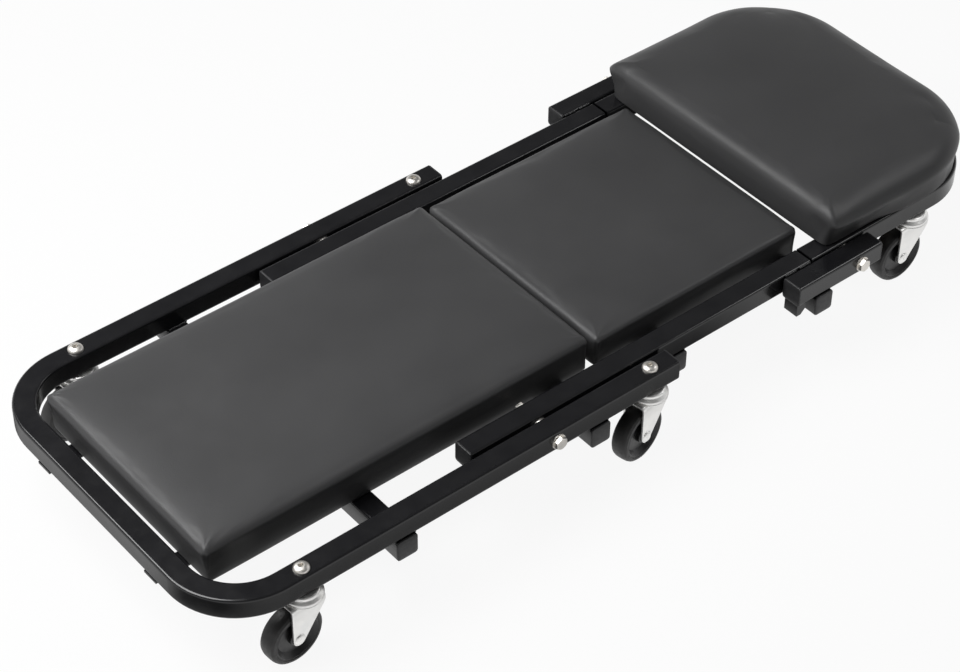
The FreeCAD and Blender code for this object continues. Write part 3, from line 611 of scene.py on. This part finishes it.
def swell(mesh, pins, pressure, cap):
    """Blows the cover up with cloth pressure and keeps each point's move below the cap."""
    holder = bpy.data.objects.new("swelling", mesh)
    scene.collection.objects.link(holder)
    held = holder.vertex_groups.new(name="held")
    held.add(pins, 1.0, "REPLACE")
    cloth = holder.modifiers.new("cloth", "CLOTH")
    settings = cloth.settings
    settings.quality = 4
    settings.mass = 0.25
    settings.tension_stiffness = 18.0
    settings.compression_stiffness = 18.0
    settings.shear_stiffness = 8.0
    settings.bending_stiffness = 1.2
    settings.use_pressure = True
    settings.uniform_pressure_force = pressure
    settings.effector_weights.gravity = 0.0
    settings.vertex_group_mass = "held"
    cloth.collision_settings.use_collision = False
    cloth.point_cache.frame_start = 1
    cloth.point_cache.frame_end = FRAMES
    for step in range(1, FRAMES + 1):
        scene.frame_set(step)
    graph = bpy.context.evaluated_depsgraph_get()
    swollen = coordinates(holder.evaluated_get(graph).data)
    rest = coordinates(mesh)
    scene.frame_set(1)
    bpy.data.objects.remove(holder)
    moves = swollen - rest
    length = np.linalg.norm(moves, axis=1, keepdims=True)
    moves *= cap / (length + cap)
    move_points(mesh, rest + moves)
    return float(length.max()), float(np.linalg.norm(moves, axis=1).max())


def smoother(mesh, name):
    """The same mesh after one level of subdivision, with its open bottom closed."""
    holder = bpy.data.objects.new("smoothing", mesh)
    scene.collection.objects.link(holder)
    level = holder.modifiers.new("smooth", "SUBSURF")
    level.levels = 1
    level.render_levels = 1
    made = baked(holder)
    made.name = name
    work = bmesh.new()
    work.from_mesh(made)
    bmesh.ops.holes_fill(work, edges=[edge for edge in work.edges if edge.is_boundary], sides=0)
    work.to_mesh(made)
    work.free()
    return made


def even_out(mesh, spec):
    """Smooths the two spots of a round end where the grid's corners were bent straight."""
    inset = spec["edge"] + spec["end_corner"] * (1 - math.sqrt(0.5))
    rest = coordinates(mesh)
    kept = np.ones(len(rest))
    work = bmesh.new()
    work.from_mesh(mesh)
    work.verts.ensure_lookup_table()
    for side in (-1, 1):
        spot = np.array((spec["x1"] - inset, side * (spec["half"] - inset), spec["z"] + spec["rim"])) * MM
        away = np.linalg.norm(rest - spot, axis=1) / MM
        kept = np.minimum(kept, fade(away, EVEN_CORE, EVEN_REACH))
    close = [work.verts[index] for index in np.flatnonzero(kept < 1.0)]
    all_axes = {"use_axis_x": True, "use_axis_y": True, "use_axis_z": True}
    for _ in range(EVEN_ROUNDS):
        bmesh.ops.smooth_vert(work, verts=close, factor=0.5, **all_axes)
    work.to_mesh(mesh)
    work.free()
    evened = coordinates(mesh)
    move_points(mesh, evened + (rest - evened) * kept[:, None])


# %% [markdown]
# ### Corner folds
# Where flat vinyl goes round a corner there is too much of it, so it is folded over itself: a short upright
# crease with a soft lip beside it. On the head pad's round end the extra is gathered into fine ripples
# low on the side. Both are moved in the finished mesh, after the swelling, because it would smooth them away.

# %% Pads: folds
def fold_corners(mesh, spec, corners, depth, width):
    """Upright creases at a pad's corners, each with a lip on one side of it."""
    places = coordinates(mesh) / MM
    height = places[:, 2] - spec["z"]
    low_rim = spec["rim"] - spec["dip"]
    shown = fade(height, 1.0, 4.0) * (1 - fade(height, low_rim - spec["drop"], low_rim - 1.0))
    for along, side in corners:
        edge = spec["x0"] if along < 0 else spec["x1"]
        inward = FOLD_RADIUS + spec["pinch"]
        centre = np.array([edge - along * inward, side * (spec["half"] - inward)])
        out = places[:, :2] - centre
        reach = np.linalg.norm(out, axis=1)
        at = np.degrees(np.arctan2(out[:, 1] * side, out[:, 0] * along)) - 45.0
        near = (reach > FOLD_RADIUS * 0.55) * (np.abs(at) < 60)
        walk = np.radians(at) * FOLD_RADIUS
        crease = -depth * np.exp(-(walk / width) ** 2)
        lip = depth * 0.55 * np.exp(-((walk - 2.4 * width) / (1.7 * width)) ** 2)
        push = (crease + lip) * near * shown
        places[:, :2] += out / np.maximum(reach, 1e-6)[:, None] * push[:, None]
    move_points(mesh, places * MM)


def gather_end(mesh, spec, depth):
    """Fine upright ripples low on the side, round the pad's end."""
    places = coordinates(mesh) / MM
    radius = spec["end_corner"] + spec["edge"]
    centre_x = spec["x1"] - radius
    for side in (-1, 1):
        centre = np.array([centre_x, side * (spec["half"] - radius)])
        out = places[:, :2] - centre
        reach = np.linalg.norm(out, axis=1)
        turn_at = np.arctan2(out[:, 1] * side, out[:, 0])
        quarter = fade(turn_at, 0.05, 0.4) * (1 - fade(turn_at, 1.2, 1.52)) * (reach > radius * 0.8)
        height = places[:, 2] - spec["z"]
        low = fade(height, 1.0, 4.0) * (1 - fade(height, 8.0, 26.0))
        ripple = np.sin(turn_at * 31.0) * 0.6 + np.sin(turn_at * 19.0 + 1.0) * 0.4
        push = depth * ripple * quarter * low
        places[:, :2] += out / np.maximum(reach, 1e-6)[:, None] * push[:, None]
    move_points(mesh, places * MM)


# %% [markdown]
# ### Boards and staples
# Seen from below, each pad shows its plywood board, the hem of the vinyl turned over its edge, and a row of
# staples. The staples follow the hem's outline, so Geometry Nodes set them out: the outline is resampled at
# the stapler's pitch and a small straight bar of wire is put at each point, turned along the outline.

# %% Boards and staples
LEAST_RADIUS = 3.0
BOARD_INSET, STAPLE_INSET = 3.0, 13.0
BOARD_LOW, BOARD_HIGH = 0.8, 9.0
STAPLE = {"Pitch": 0.026, "Width": 0.010, "Wire": 0.0008, "Finish": SCREW}


def outline_points(spec, inset):
    """A pad's rounded outline at an inset, as points on the sketch plane."""
    x0, x1, half = spec["x0"] + inset, spec["x1"] - inset, spec["half"] - inset
    corners = {-1: spec["start_corner"], 1: spec["end_corner"]}
    points = []
    for along, side, begin in ((1, -1, -90), (1, 1, 0), (-1, 1, 90), (-1, -1, 180)):
        radius = max(corners[along] + spec["edge"] - inset, LEAST_RADIUS)
        centre = Vector((x1 - radius if along > 0 else x0 + radius, side * (half - radius)))
        for step in range(9):
            t = math.radians(begin + 90 * step / 8)
            points.append(centre + Vector((math.cos(t), math.sin(t))) * radius)
    return points


def board_mesh(name, spec):
    outline = outline_points(spec, spec["tuck"] + BOARD_INSET)
    work = bmesh.new()
    low = [work.verts.new((p.x, p.y, spec["z"] + BOARD_LOW)) for p in outline]
    high = [work.verts.new((p.x, p.y, spec["z"] + BOARD_HIGH)) for p in outline]
    work.faces.new(low[::-1])
    work.faces.new(high)
    for index in range(len(outline)):
        following = (index + 1) % len(outline)
        work.faces.new([low[index], low[following], high[following], high[index]])
    return made_mesh(name, work, smooth=False)


def repeat_tree(name, sizes):
    """An empty Geometry Nodes tree with named inputs; gives the tree and its two ends."""
    tree = bpy.data.node_groups.new(name, "GeometryNodeTree")
    tree.is_modifier = True
    tree.interface.new_socket("Geometry", in_out="INPUT", socket_type="NodeSocketGeometry")
    for label, kind in sizes:
        tree.interface.new_socket(label, in_out="INPUT", socket_type=kind)
    tree.interface.new_socket("Geometry", in_out="OUTPUT", socket_type="NodeSocketGeometry")
    return tree, tree.nodes.new("NodeGroupInput").outputs, tree.nodes.new("NodeGroupOutput")


def finish_tree(tree, instances, finish, end):
    real = add(tree, "GeometryNodeRealizeInstances", {"Geometry": instances})
    painted = add(tree, "GeometryNodeSetMaterial", {"Geometry": real.outputs[0], "Material": finish})
    tree.links.new(painted.outputs[0], end.inputs[0])


def grow(name, mesh, tree, values):
    """Runs a tree on a mesh and gives the result as a plain mesh."""
    holder = bpy.data.objects.new("growing", mesh)
    scene.collection.objects.link(holder)
    modifier = holder.modifiers.new("nodes", "NODES")
    modifier.node_group = tree
    for item in tree.interface.items_tree:
        if item.in_out == "INPUT" and item.name in values:
            modifier[item.identifier] = values[item.name]
    made = baked(holder)
    made.name = name
    return made


staple_sizes = [(label, "NodeSocketFloat") for label in ("Pitch", "Width", "Wire")]
staple_sizes.append(("Finish", "NodeSocketMaterial"))
STAPLES, given, end = repeat_tree("staple_row", staple_sizes)
row = add(STAPLES, "GeometryNodeMeshToCurve", {"Mesh": given["Geometry"]})
spaced = {"Curve": row.outputs[0], "Length": given["Pitch"]}
spots = add(STAPLES, "GeometryNodeCurveToPoints", spaced, mode="LENGTH").outputs
wire_sides = {"X": given["Width"], "Y": given["Wire"], "Z": given["Wire"]}
wire_size = add(STAPLES, "ShaderNodeCombineXYZ", wire_sides)
wire = add(STAPLES, "GeometryNodeMeshCube", {"Size": wire_size.outputs[0]})
along_row = {"Vector": spots["Tangent"]}
turned = add(STAPLES, "FunctionNodeAlignRotationToVector", along_row, axis="X", pivot_axis="Z")
laid_inputs = {"Points": spots["Points"], "Instance": wire.outputs["Mesh"], "Rotation": turned.outputs[0]}
laid = add(STAPLES, "GeometryNodeInstanceOnPoints", laid_inputs)
finish_tree(STAPLES, laid.outputs[0], given["Finish"], end)


def staple_mesh(name, spec):
    outline = outline_points(spec, spec["tuck"] + STAPLE_INSET)
    line = bpy.data.meshes.new(name + "_line")
    count = len(outline)
    places = [(p.x * MM, p.y * MM, (spec["z"] - 0.15) * MM) for p in outline]
    line.from_pydata(places, [(index, (index + 1) % count) for index in range(count)], [])
    return grow(name, line, STAPLES, STAPLE)


# %% Pads: make the three
def box_mm(node):
    low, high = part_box(node)
    return low / MM, high / MM


SMALL_CORNER, ROUND_END = 1.8, 82.0
FOLD_DEPTH, FOLD_WIDTH = 1.5, 1.3
RIPPLE_DEPTH = 0.5
SWELL_CAP = 0.0015
FORMS = {
    "leg": {
        "rim": 47.0, "crown": 2.5, "reach": 50.0, "dip": 0.5, "pinch": 0.5, "lead": 2.0, "tail": 0.0,
        "edge": 8.5, "drop": 8.0, "tuck": 3.0, "late_tuck": 3.0,
        "end_tuck": 0.0, "front_tuck": 4.5, "front_edge": 8.0, "front_drop": 8.0,
    },
    "seat": {
        "rim": 37.5, "crown": 4.5, "reach": 60.0, "dip": 0.5, "pinch": 0.5, "lead": 0.0, "tail": 0.0,
        "edge": 6.0, "drop": 6.0, "tuck": 1.5, "late_tuck": 1.5,
        "end_tuck": 1.5, "front_tuck": 0.0, "front_edge": 7.0, "front_drop": 7.0,
    },
    "head": {
        "rim": 49.5, "crown": 4.0, "reach": 70.0, "dip": 0.0, "pinch": 0.0, "lead": 0.0, "tail": -3.0,
        "edge": 28.0, "drop": 20.0, "tuck": 11.0, "late_tuck": 4.0,
        "end_tuck": 0.0, "front_tuck": 2.0, "front_edge": 17.0, "front_drop": 14.0,
    },
}
PADS = {}
for label, body in (("leg", "base"), ("seat", "seat"), ("head", "head")):
    low, high = box_mm(f"{label}_cushion")
    PADS[label] = {
        "body": body,
        "x0": low.x - FORMS[label]["lead"],
        "x1": high.x + FORMS[label]["tail"],
        "half": high.y,
        "z": low.z,
        "start_corner": SMALL_CORNER,
        "end_corner": ROUND_END if label == "head" else SMALL_CORNER,
        **FORMS[label],
    }

for label, spec in PADS.items():
    soft = label == "head"
    shell, pins = pad_shell(f"{label}_cover", spec)
    grown = kept = 0.0
    grown, kept = swell(shell, pins, 1.5 if soft else 2.0, SWELL_CAP)
    cover = smoother(shell, f"{label}_pad_cover")
    ends = ((-1, -1), (-1, 1)) if soft else ((-1, -1), (-1, 1), (1, -1), (1, 1))
    fold_corners(cover, spec, ends, FOLD_DEPTH, FOLD_WIDTH)
    if soft:
        even_out(cover, spec)
        gather_end(cover, spec, RIPPLE_DEPTH)
    made = piece(f"{label}_pad_cover", cover, spec["body"], "vinyl", VINYL, (f"{label}_cushion",))
    board = board_mesh(f"{label}_pad_base", spec)
    piece(f"{label}_pad_base", board, spec["body"], "plywood", PLY, (f"{label}_pad_board",))
    piece(f"{label}_staples", staple_mesh(f"{label}_staples", spec), spec["body"], "fastener_zinc")
    swelled = f"swelled {grown / MM:.1f} mm, kept {kept / MM:.1f} mm"
    print(label, "cover:", len(cover.polygons), "faces,", swelled)

# %% [markdown]
# ## Casters
# A caster is pressed from sheet: a flared cap holds the balls, a fork turns under it, and the wheel runs on
# a riveted axle. The cap, wheel and rivet are turned shapes. The fork is one strip of sheet bent into a U,
# so it is a grid along the bend, given its thickness by Solidify and its soft edge by Bevel.

# %% Casters: turned parts
CAP = [
    (0, 0.0), (15.8, 0.0), (17.2, -0.8), (17.4, -3.0), (20.3, -5.4), (21.0, -6.4), (21.0, -9.0),
    (8.0, -9.0), (8.0, -11.9), (12.0, -11.9), (12.0, -14.5), (0, -14.5),
]
wheel_low, wheel_high = box_mm("front_caster_near_wheel")
WHEEL_RADIUS = (wheel_high.z - wheel_low.z) / 2
CORE_HALF = [(4.05, 10.5), (7.6, 10.5), (9.0, 9.6), (9.3, 5.0)]
RIM_HALF = [
    (-12.5, 4.6), (-8.9, 8.6), (-7.9, 9.6), (-6.9, 9.2), (-6.1, 9.2),
    (-5.3, 10.0), (-3.1, 9.8), (-1.1, 8.0), (-0.2, 5.2), (0.0, 1.5),
]
TYRE_DEPTH = 7.0
WHEEL_HALF = CORE_HALF + [(WHEEL_RADIUS + inward, height) for inward, height in RIM_HALF]
RIVET = [
    (0, 15.0), (2.0, 15.0), (2.4, 15.25), (3.6, 15.2), (5.2, 14.6), (6.2, 13.7), (6.4, 13.1), (4.0, 13.0),
]
DISC = [(8.2, -9.3), (18.8, -9.3), (20.5, -10.1), (20.5, -11.6), (8.2, -11.6), (8.2, -9.3)]


def mirrored(profile):
    return profile + [(reach, -height) for reach, height in reversed(profile)]


def tyre_and_core(mesh):
    """The wheel's outer ring is rubber, the rest a hard core."""
    mesh.materials.append(TYRE)
    mesh.materials.append(CORE)
    for polygon in mesh.polygons:
        reach = math.hypot(polygon.center.x, polygon.center.y)
        polygon.material_index = 0 if reach > (WHEEL_RADIUS - TYRE_DEPTH) * MM else 1
    return mesh


CAP_MESH = stack("cap", rounded(CAP, 0.9))
wheel_profile = mirrored(WHEEL_HALF)
WHEEL_MESH = tyre_and_core(stack("wheel", wheel_profile + wheel_profile[:1], 28.0))
RIVET_MESH = stack("rivet", mirrored(RIVET))
LAY_DOWN = Matrix.Rotation(math.radians(90), 4, "X")
WHEEL_MESH.transform(LAY_DOWN)
RIVET_MESH.transform(LAY_DOWN)
print("turned parts:", len(CAP_MESH.polygons), len(WHEEL_MESH.polygons), len(RIVET_MESH.polygons))

# %% Casters: the fork
SHEET = 2.3
LEG_Y = 11.95
CROWN_Z = -10.45
BEND = 3.2
hang_z = box_mm("front_caster_near_raceway")[1].z
EYE = Vector((-16.5, WHEEL_RADIUS - hang_z))
EYE_REACH = 7.5
SHOULDER = Vector((17.0, -20.3))
HEEL = -24.0


def leg_span(z):
    """How far a fork leg reaches back and forward at a height."""
    to_shoulder = SHOULDER - EYE
    angle = math.atan2(to_shoulder.y, to_shoulder.x) - math.acos(EYE_REACH / to_shoulder.length)
    touch = EYE + EYE_REACH * Vector((math.cos(angle), math.sin(angle)))
    half = math.sqrt(max(EYE_REACH ** 2 - (z - EYE.y) ** 2, 0.05))
    heel = HEEL if z > EYE.y else EYE.x - half
    if z >= SHOULDER.y:
        return heel, SHOULDER.x
    if z <= touch.y:
        return heel, EYE.x + half
    share = (z - touch.y) / (SHOULDER.y - touch.y)
    return heel, touch.x + share * (SHOULDER.x - touch.x)


def fork_mesh():
    """Half the section from the foot up and over the crown; the other leg is its mirror."""
    foot = EYE.y - EYE_REACH
    section = [(-LEG_Y, foot + EYE_REACH * (1 - math.cos(math.radians(a)))) for a in (8, 25, 42, 60, 75, 90)]
    section += [(-LEG_Y, z) for z in np.linspace(EYE.y, CROWN_Z - BEND, 9)[1:]]
    for a in (22, 45, 68, 90):
        t = math.radians(a)
        section.append((-LEG_Y + BEND * (1 - math.cos(t)), CROWN_Z - BEND * (1 - math.sin(t))))
    section += [(y, CROWN_Z) for y in (-4.0, 0.0)]
    section += [(-y, z) for y, z in reversed(section[:-1])]
    work = bmesh.new()
    rows = []
    for y, z in section:
        heel, toe = leg_span(z)
        rows.append([work.verts.new((x, y, z)) for x in np.linspace(heel, toe, 9)])
    for low, high in zip(rows, rows[1:]):
        for index in range(8):
            work.faces.new([low[index], low[index + 1], high[index + 1], high[index]])
    holder = bpy.data.objects.new("fork_sheet", made_mesh("fork_sheet", work))
    scene.collection.objects.link(holder)
    wall = holder.modifiers.new("wall", "SOLIDIFY")
    wall.thickness = SHEET * MM
    wall.offset = 0.0
    edge = holder.modifiers.new("edge", "BEVEL")
    edge.width = 0.5 * MM
    edge.segments = 2
    edge.limit_method = "ANGLE"
    edge.angle_limit = math.radians(50)
    made = baked(holder)
    made.polygons.foreach_set("use_smooth", [True] * len(made.polygons))
    made.set_sharp_from_angle(angle=math.radians(40))
    return joined("fork", [made, stack("disc", rounded(DISC, 0.7))])


FORK_MESH = fork_mesh()
print("fork:", len(FORK_MESH.polygons), "faces")

# %% Casters: put them on
for joint in frame["joints"]:
    if not joint["name"].endswith("_turn"):
        continue
    name = joint["name"].removesuffix("_turn")
    roll_joint = next(item for item in frame["joints"] if item["name"] == name + "_roll")
    yaw = math.atan2(-roll_joint["axis"][0], roll_joint["axis"][1])
    spin = Matrix.Rotation(yaw, 4, "Z")
    top = box_mm(f"{name}_raceway")[1].z * MM
    hang = Matrix.Translation((joint["pos_m"][0], joint["pos_m"][1], top))
    hub = Matrix.Translation(roll_joint["pos_m"])
    for part, source, place, body, finish, slot in (
        ("raceway", CAP_MESH, hang, joint["parent"], PLATE, "caster_zinc"),
        ("fork", FORK_MESH, hang @ spin, name + "_swivel", PLATE, "caster_zinc"),
        ("axle", RIVET_MESH, hub @ spin, name + "_swivel", PLATE, "caster_zinc"),
        ("wheel", WHEEL_MESH, hub @ spin, name + "_roller", None, "wheel_rubber"),
    ):
        mesh = source.copy()
        mesh.transform(place)
        piece(f"{name}_{part}_skin", mesh, body, slot, finish, (f"{name}_{part}",))

# %% [markdown]
# ## Screws and bolts
# The casters hang on button-head screws that show as bright domes on the rails, each with a hex socket.
# The hinges turn on hex bolts with washers. Geometry Nodes put one screw at each point of a small cloud, so
# that the count follows the frame; the bolts stay with their CAD washers and get a chamfered head.

# %% Screws and bolts
screw_sizes = [("Screw", "NodeSocketObject"), ("Finish", "NodeSocketMaterial")]
SCREWS, given, end = repeat_tree("screw_set", screw_sizes)
model = add(SCREWS, "GeometryNodeObjectInfo", {"Object": given["Screw"]}, transform_space="ORIGINAL")
normal = {"Vector": add(SCREWS, "GeometryNodeInputNormal").outputs[0]}
facing = add(SCREWS, "FunctionNodeAlignRotationToVector", normal, axis="Z")
cloud_points = add(SCREWS, "GeometryNodeMeshToPoints", {"Mesh": given["Geometry"]}, mode="FACES")
kept_turn = add(SCREWS, "GeometryNodeCaptureAttribute", {"Geometry": given["Geometry"]}, domain="FACE")
kept_turn.capture_items.new("ROTATION", "Facing")
SCREWS.links.new(facing.outputs[0], kept_turn.inputs["Facing"])
SCREWS.links.new(kept_turn.outputs["Geometry"], cloud_points.inputs["Mesh"])
put_inputs = {"Points": cloud_points.outputs[0], "Instance": model.outputs["Geometry"]}
put_inputs["Rotation"] = kept_turn.outputs["Facing"]
put = add(SCREWS, "GeometryNodeInstanceOnPoints", put_inputs)
finish_tree(SCREWS, put.outputs[0], given["Finish"], end)


def set_out(name, model_mesh, spots, finish):
    """One model at each (place, direction); the places are in millimetres."""
    places, faces = [], []
    for place, direction in spots:
        axis = Vector(direction).normalized()
        side = axis.orthogonal().normalized()
        other = axis.cross(side)
        centre = Vector(place) * MM
        first = len(places)
        for t in (0, 120, 240):
            a = math.radians(t)
            places.append(centre + (side * math.cos(a) + other * math.sin(a)) * 0.0005)
        faces.append((first, first + 1, first + 2))
    cloud = bpy.data.meshes.new(name + "_spots")
    cloud.from_pydata(places, [], faces)
    holder = bpy.data.objects.new(name + "_model", model_mesh)
    scene.collection.objects.link(holder)
    made = grow(name, cloud, SCREWS, {"Screw": holder, "Finish": finish})
    bpy.data.objects.remove(holder)
    return made


BUTTON = [
    (0, -26.0), (4.0, -26.0), (4.0, 0.0), (8.5, 0.0), (8.5, 0.8), (8.1, 2.0), (7.2, 3.1), (5.9, 3.95),
    (4.4, 4.45), (3.4, 4.6), (hex_reach(5.0), 4.55), (hex_reach(4.8), 0.9), (0, 0.5),
]
BUTTON_MESH = stack("button_head", BUTTON)
rail_top = box_mm("base_frame")[1].z
heads = []
for spot in ("front", "middle"):
    for side in SIDES:
        low, high = box_mm(f"{spot}_caster_{side}_raceway")
        heads.append((((low.x + high.x) / 2, (low.y + high.y) / 2, rail_top), (0, 0, 1)))
button_set = set_out("caster_button_heads", BUTTON_MESH, heads, SCREW)
piece("caster_button_heads", button_set, "base", "fastener_zinc", None, ("base_caster_screws",))


def chamfer(height, flats):
    """A hex head's top edge, cut down at its corners by a cone."""
    reach = hex_reach(flats)
    return lambda t: height - (reach(t) - flats / 2) * 0.6


HEAD_HEIGHT, HEAD_FLATS = 5.3, 13.0
flats = hex_reach(HEAD_FLATS)
HEX = [
    (0, -3.0), (4.0, -3.0), (4.0, 0.0), (flats, 0.0), (flats, chamfer(5.0, HEAD_FLATS)),
    (6.1, 5.2), (0, HEAD_HEIGHT),
]
HEX_MESH = stack("hex_head", HEX, 25.0)
for joint, body in (("knee", "base"), ("head", "seat")):
    for side, sign in SIDES.items():
        low, high = box_mm(f"{joint}_bolt_{side}")
        outer = low.y if sign < 0 else high.y
        place = ((low.x + high.x) / 2, outer - sign * HEAD_HEIGHT, (low.z + high.z) / 2)
        head_mesh = set_out(f"{joint}_bolt_head_{side}", HEX_MESH, [(place, (0, sign, 0))], SCREW)
        inner = high.y if sign < 0 else low.y
        length = abs(inner - outer) - HEAD_HEIGHT
        shank = stack("shank", [(0, 0.5), (4.0, 0.5), (4.0, 1.0 - length), (3.2, -length), (0, -length)])
        shank_mesh = set_out("shank", shank, [(place, (0, sign, 0))], SCREW)
        bolt = joined(f"{joint}_bolt_{side}_skin", [head_mesh, shank_mesh])
        piece(f"{joint}_bolt_{side}_skin", bolt, body, "fastener_zinc", SCREW, (f"{joint}_bolt_{side}",))
print("screws:", len(button_set.polygons), "faces on", len(heads), "heads")

# %% [markdown]
# ## End plugs
# The open tube ends of the base and the seat section are closed by black plastic plugs: a rounded square
# lid, slightly domed. The same tree that sets the screws out puts a lid on each end, facing outwards.

# %% End plugs
TUBE_HALF = 12.5
stem, brim = square_reach(10.0, 1.5), square_reach(TUBE_HALF, 3.0)
LID = [
    (0, -2.0), (stem, -2.0), (stem, 0.0), (brim, 0.0), (brim, 1.4), (square_reach(12.2, 2.9), 1.9),
    (square_reach(11.4, 2.6), 2.25), (square_reach(8.0, 2.0), 2.45), (0, 2.5),
]
LID_MESH = stack("plug_lid", LID, 30.0)


def tube_ends(node, axis):
    """The middles of a tube's two ends, with their outward directions."""
    low, high = box_mm(node)
    middle = (low + high) / 2
    for sign, corner in ((-1, low), (1, high)):
        place = middle.copy()
        place[axis] = corner[axis]
        direction = [0, 0, 0]
        direction[axis] = sign
        yield place, direction


base_ends = [end for node in ("front_cross_tube", "stop_cross_tube") for end in tube_ends(node, 1)]
seat_ends = [end for node in ("seat_cross_tube", "hinge_cross_tube") for end in tube_ends(node, 1)]
rail_z = (box_mm("seat_rail_near")[0].z + box_mm("seat_rail_near")[1].z) / 2
for side, sign in SIDES.items():
    low, high = box_mm("base_frame")
    base_ends.append(((high.x, sign * (high.y - TUBE_HALF), rail_z), (1, 0, 0)))
    rail_low, rail_high = box_mm(f"seat_rail_{side}")
    seat_ends.append(((rail_low.x, (rail_low.y + rail_high.y) / 2, rail_z), (-1, 0, 0)))
    stub_low, stub_high = box_mm(f"hinge_stub_{side}")
    for x, direction in ((stub_low.x, -1), (stub_high.x, 1)):
        seat_ends.append(((x, (stub_low.y + stub_high.y) / 2, rail_z), (direction, 0, 0)))
for body, ends in (("base", base_ends), ("seat", seat_ends)):
    lids = set_out(f"{body}_plug_lids", LID_MESH, ends, PLUG)
    piece(f"{body}_plug_lids", lids, body, "plug_plastic", None, (f"{body}_plugs",))
print("plug lids:", len(base_ends) + len(seat_ends))

# %% [markdown]
# ## Welds
# The cross tubes are welded under the rails, and each weld shows as a short row of overlapping ripples under
# the paint. A bead follows a line, so Geometry Nodes lay it: points along the line, a flattened ball at
# each, with seeded small changes of size.

# %% Welds
weld_sizes = [("Step", "NodeSocketFloat"), ("Size", "NodeSocketFloat"), ("Finish", "NodeSocketMaterial")]
WELDS, given, end = repeat_tree("weld_beads", weld_sizes)
seams = add(WELDS, "GeometryNodeMeshToCurve", {"Mesh": given["Geometry"]})
stepped = {"Curve": seams.outputs[0], "Length": given["Step"]}
drops = add(WELDS, "GeometryNodeCurveToPoints", stepped, mode="LENGTH").outputs
ball = add(WELDS, "GeometryNodeMeshIcoSphere", {"Radius": given["Size"], "Subdivisions": 2})
smooth_ball = add(WELDS, "GeometryNodeSetShadeSmooth", {"Geometry": ball.outputs["Mesh"]})
sizes = {"Min": (0.75, 0.85, 0.85), "Max": (1.05, 1.15, 1.15), "Seed": 7}
uneven = add(WELDS, "FunctionNodeRandomValue", sizes, data_type="FLOAT_VECTOR")
bead_inputs = {"Points": drops["Points"], "Instance": smooth_ball.outputs[0], "Rotation": drops["Rotation"]}
bead_inputs["Scale"] = uneven.outputs["Value"]
beads = add(WELDS, "GeometryNodeInstanceOnPoints", bead_inputs)
finish_tree(WELDS, beads.outputs[0], given["Finish"], end)


WELD_STEP = 0.0019


def weld_mesh(name, lines, size):
    """Beads of one size along straight lines, whose ends are in millimetres."""
    places, edges = [], []
    for start, stop in lines:
        edges.append((len(places), len(places) + 1))
        places += [Vector(start) * MM, Vector(stop) * MM]
    line = bpy.data.meshes.new(name + "_lines")
    line.from_pydata(places, edges, [])
    return grow(name, line, WELDS, {"Step": WELD_STEP, "Size": size * MM, "Finish": PAINT})


def cross_welds(tube, inner, outer):
    """Beads where a cross tube meets the two rails above it."""
    low, high = box_mm(tube)
    top = high.z
    for sign in SIDES.values():
        yield (low.x + 3.5, sign * inner, top + 0.2), (high.x - 3.5, sign * inner, top + 0.2)
        for x in (low.x + 0.6, high.x - 0.6):
            yield (x, sign * (inner + 3), top - 0.6), (x, sign * (outer - 3), top - 0.6)


rail_outer = box_mm("base_frame")[1].y
rail_inner = rail_outer - 2 * TUBE_HALF
base_lines = list(cross_welds("front_cross_tube", rail_inner, rail_outer))
base_lines += cross_welds("stop_cross_tube", rail_inner, rail_outer)
seat_low, seat_high = box_mm("seat_rail_far")
seat_lines = list(cross_welds("seat_cross_tube", seat_low.y, seat_high.y))
hinge_low, hinge_high = box_mm("hinge_cross_tube")
stub_low, stub_high = box_mm("hinge_stub_far")
for sign in SIDES.values():
    between = sign * (seat_high.y + stub_low.y) / 2
    top = seat_high.z - 0.4
    for start, stop in ((stub_low.x + 3, stub_low.x + 16), (stub_low.x + 24, stub_low.x + 37)):
        seat_lines.append(((start, between, top), (stop, between, top)))
    inside, foot = sign * seat_low.y, hinge_high.z + 0.2
    seat_lines.append(((hinge_low.x + 1.0, inside, foot), (hinge_low.x + 14, inside, foot)))
piece("base_welds", weld_mesh("base_welds", base_lines, 1.9), "base", "frame_paint")
piece("seat_welds", weld_mesh("seat_welds", seat_lines, 1.7), "seat", "frame_paint")
print("weld lines:", len(base_lines) + len(seat_lines))

# %% [markdown]
# ## The size
# The box of the dressed object is measured beside the CAD box, and the dressed one is printed.
# The dressed object may stand only a little proud of the CAD box.

# %% Finish
bpy.context.view_layer.update()
low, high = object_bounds()
boxes = {"cad": [list(cad_low), list(cad_high)], "visual": [list(low), list(high)]}
print("visual box:", [round(value, 4) for value in (*low, *high)])
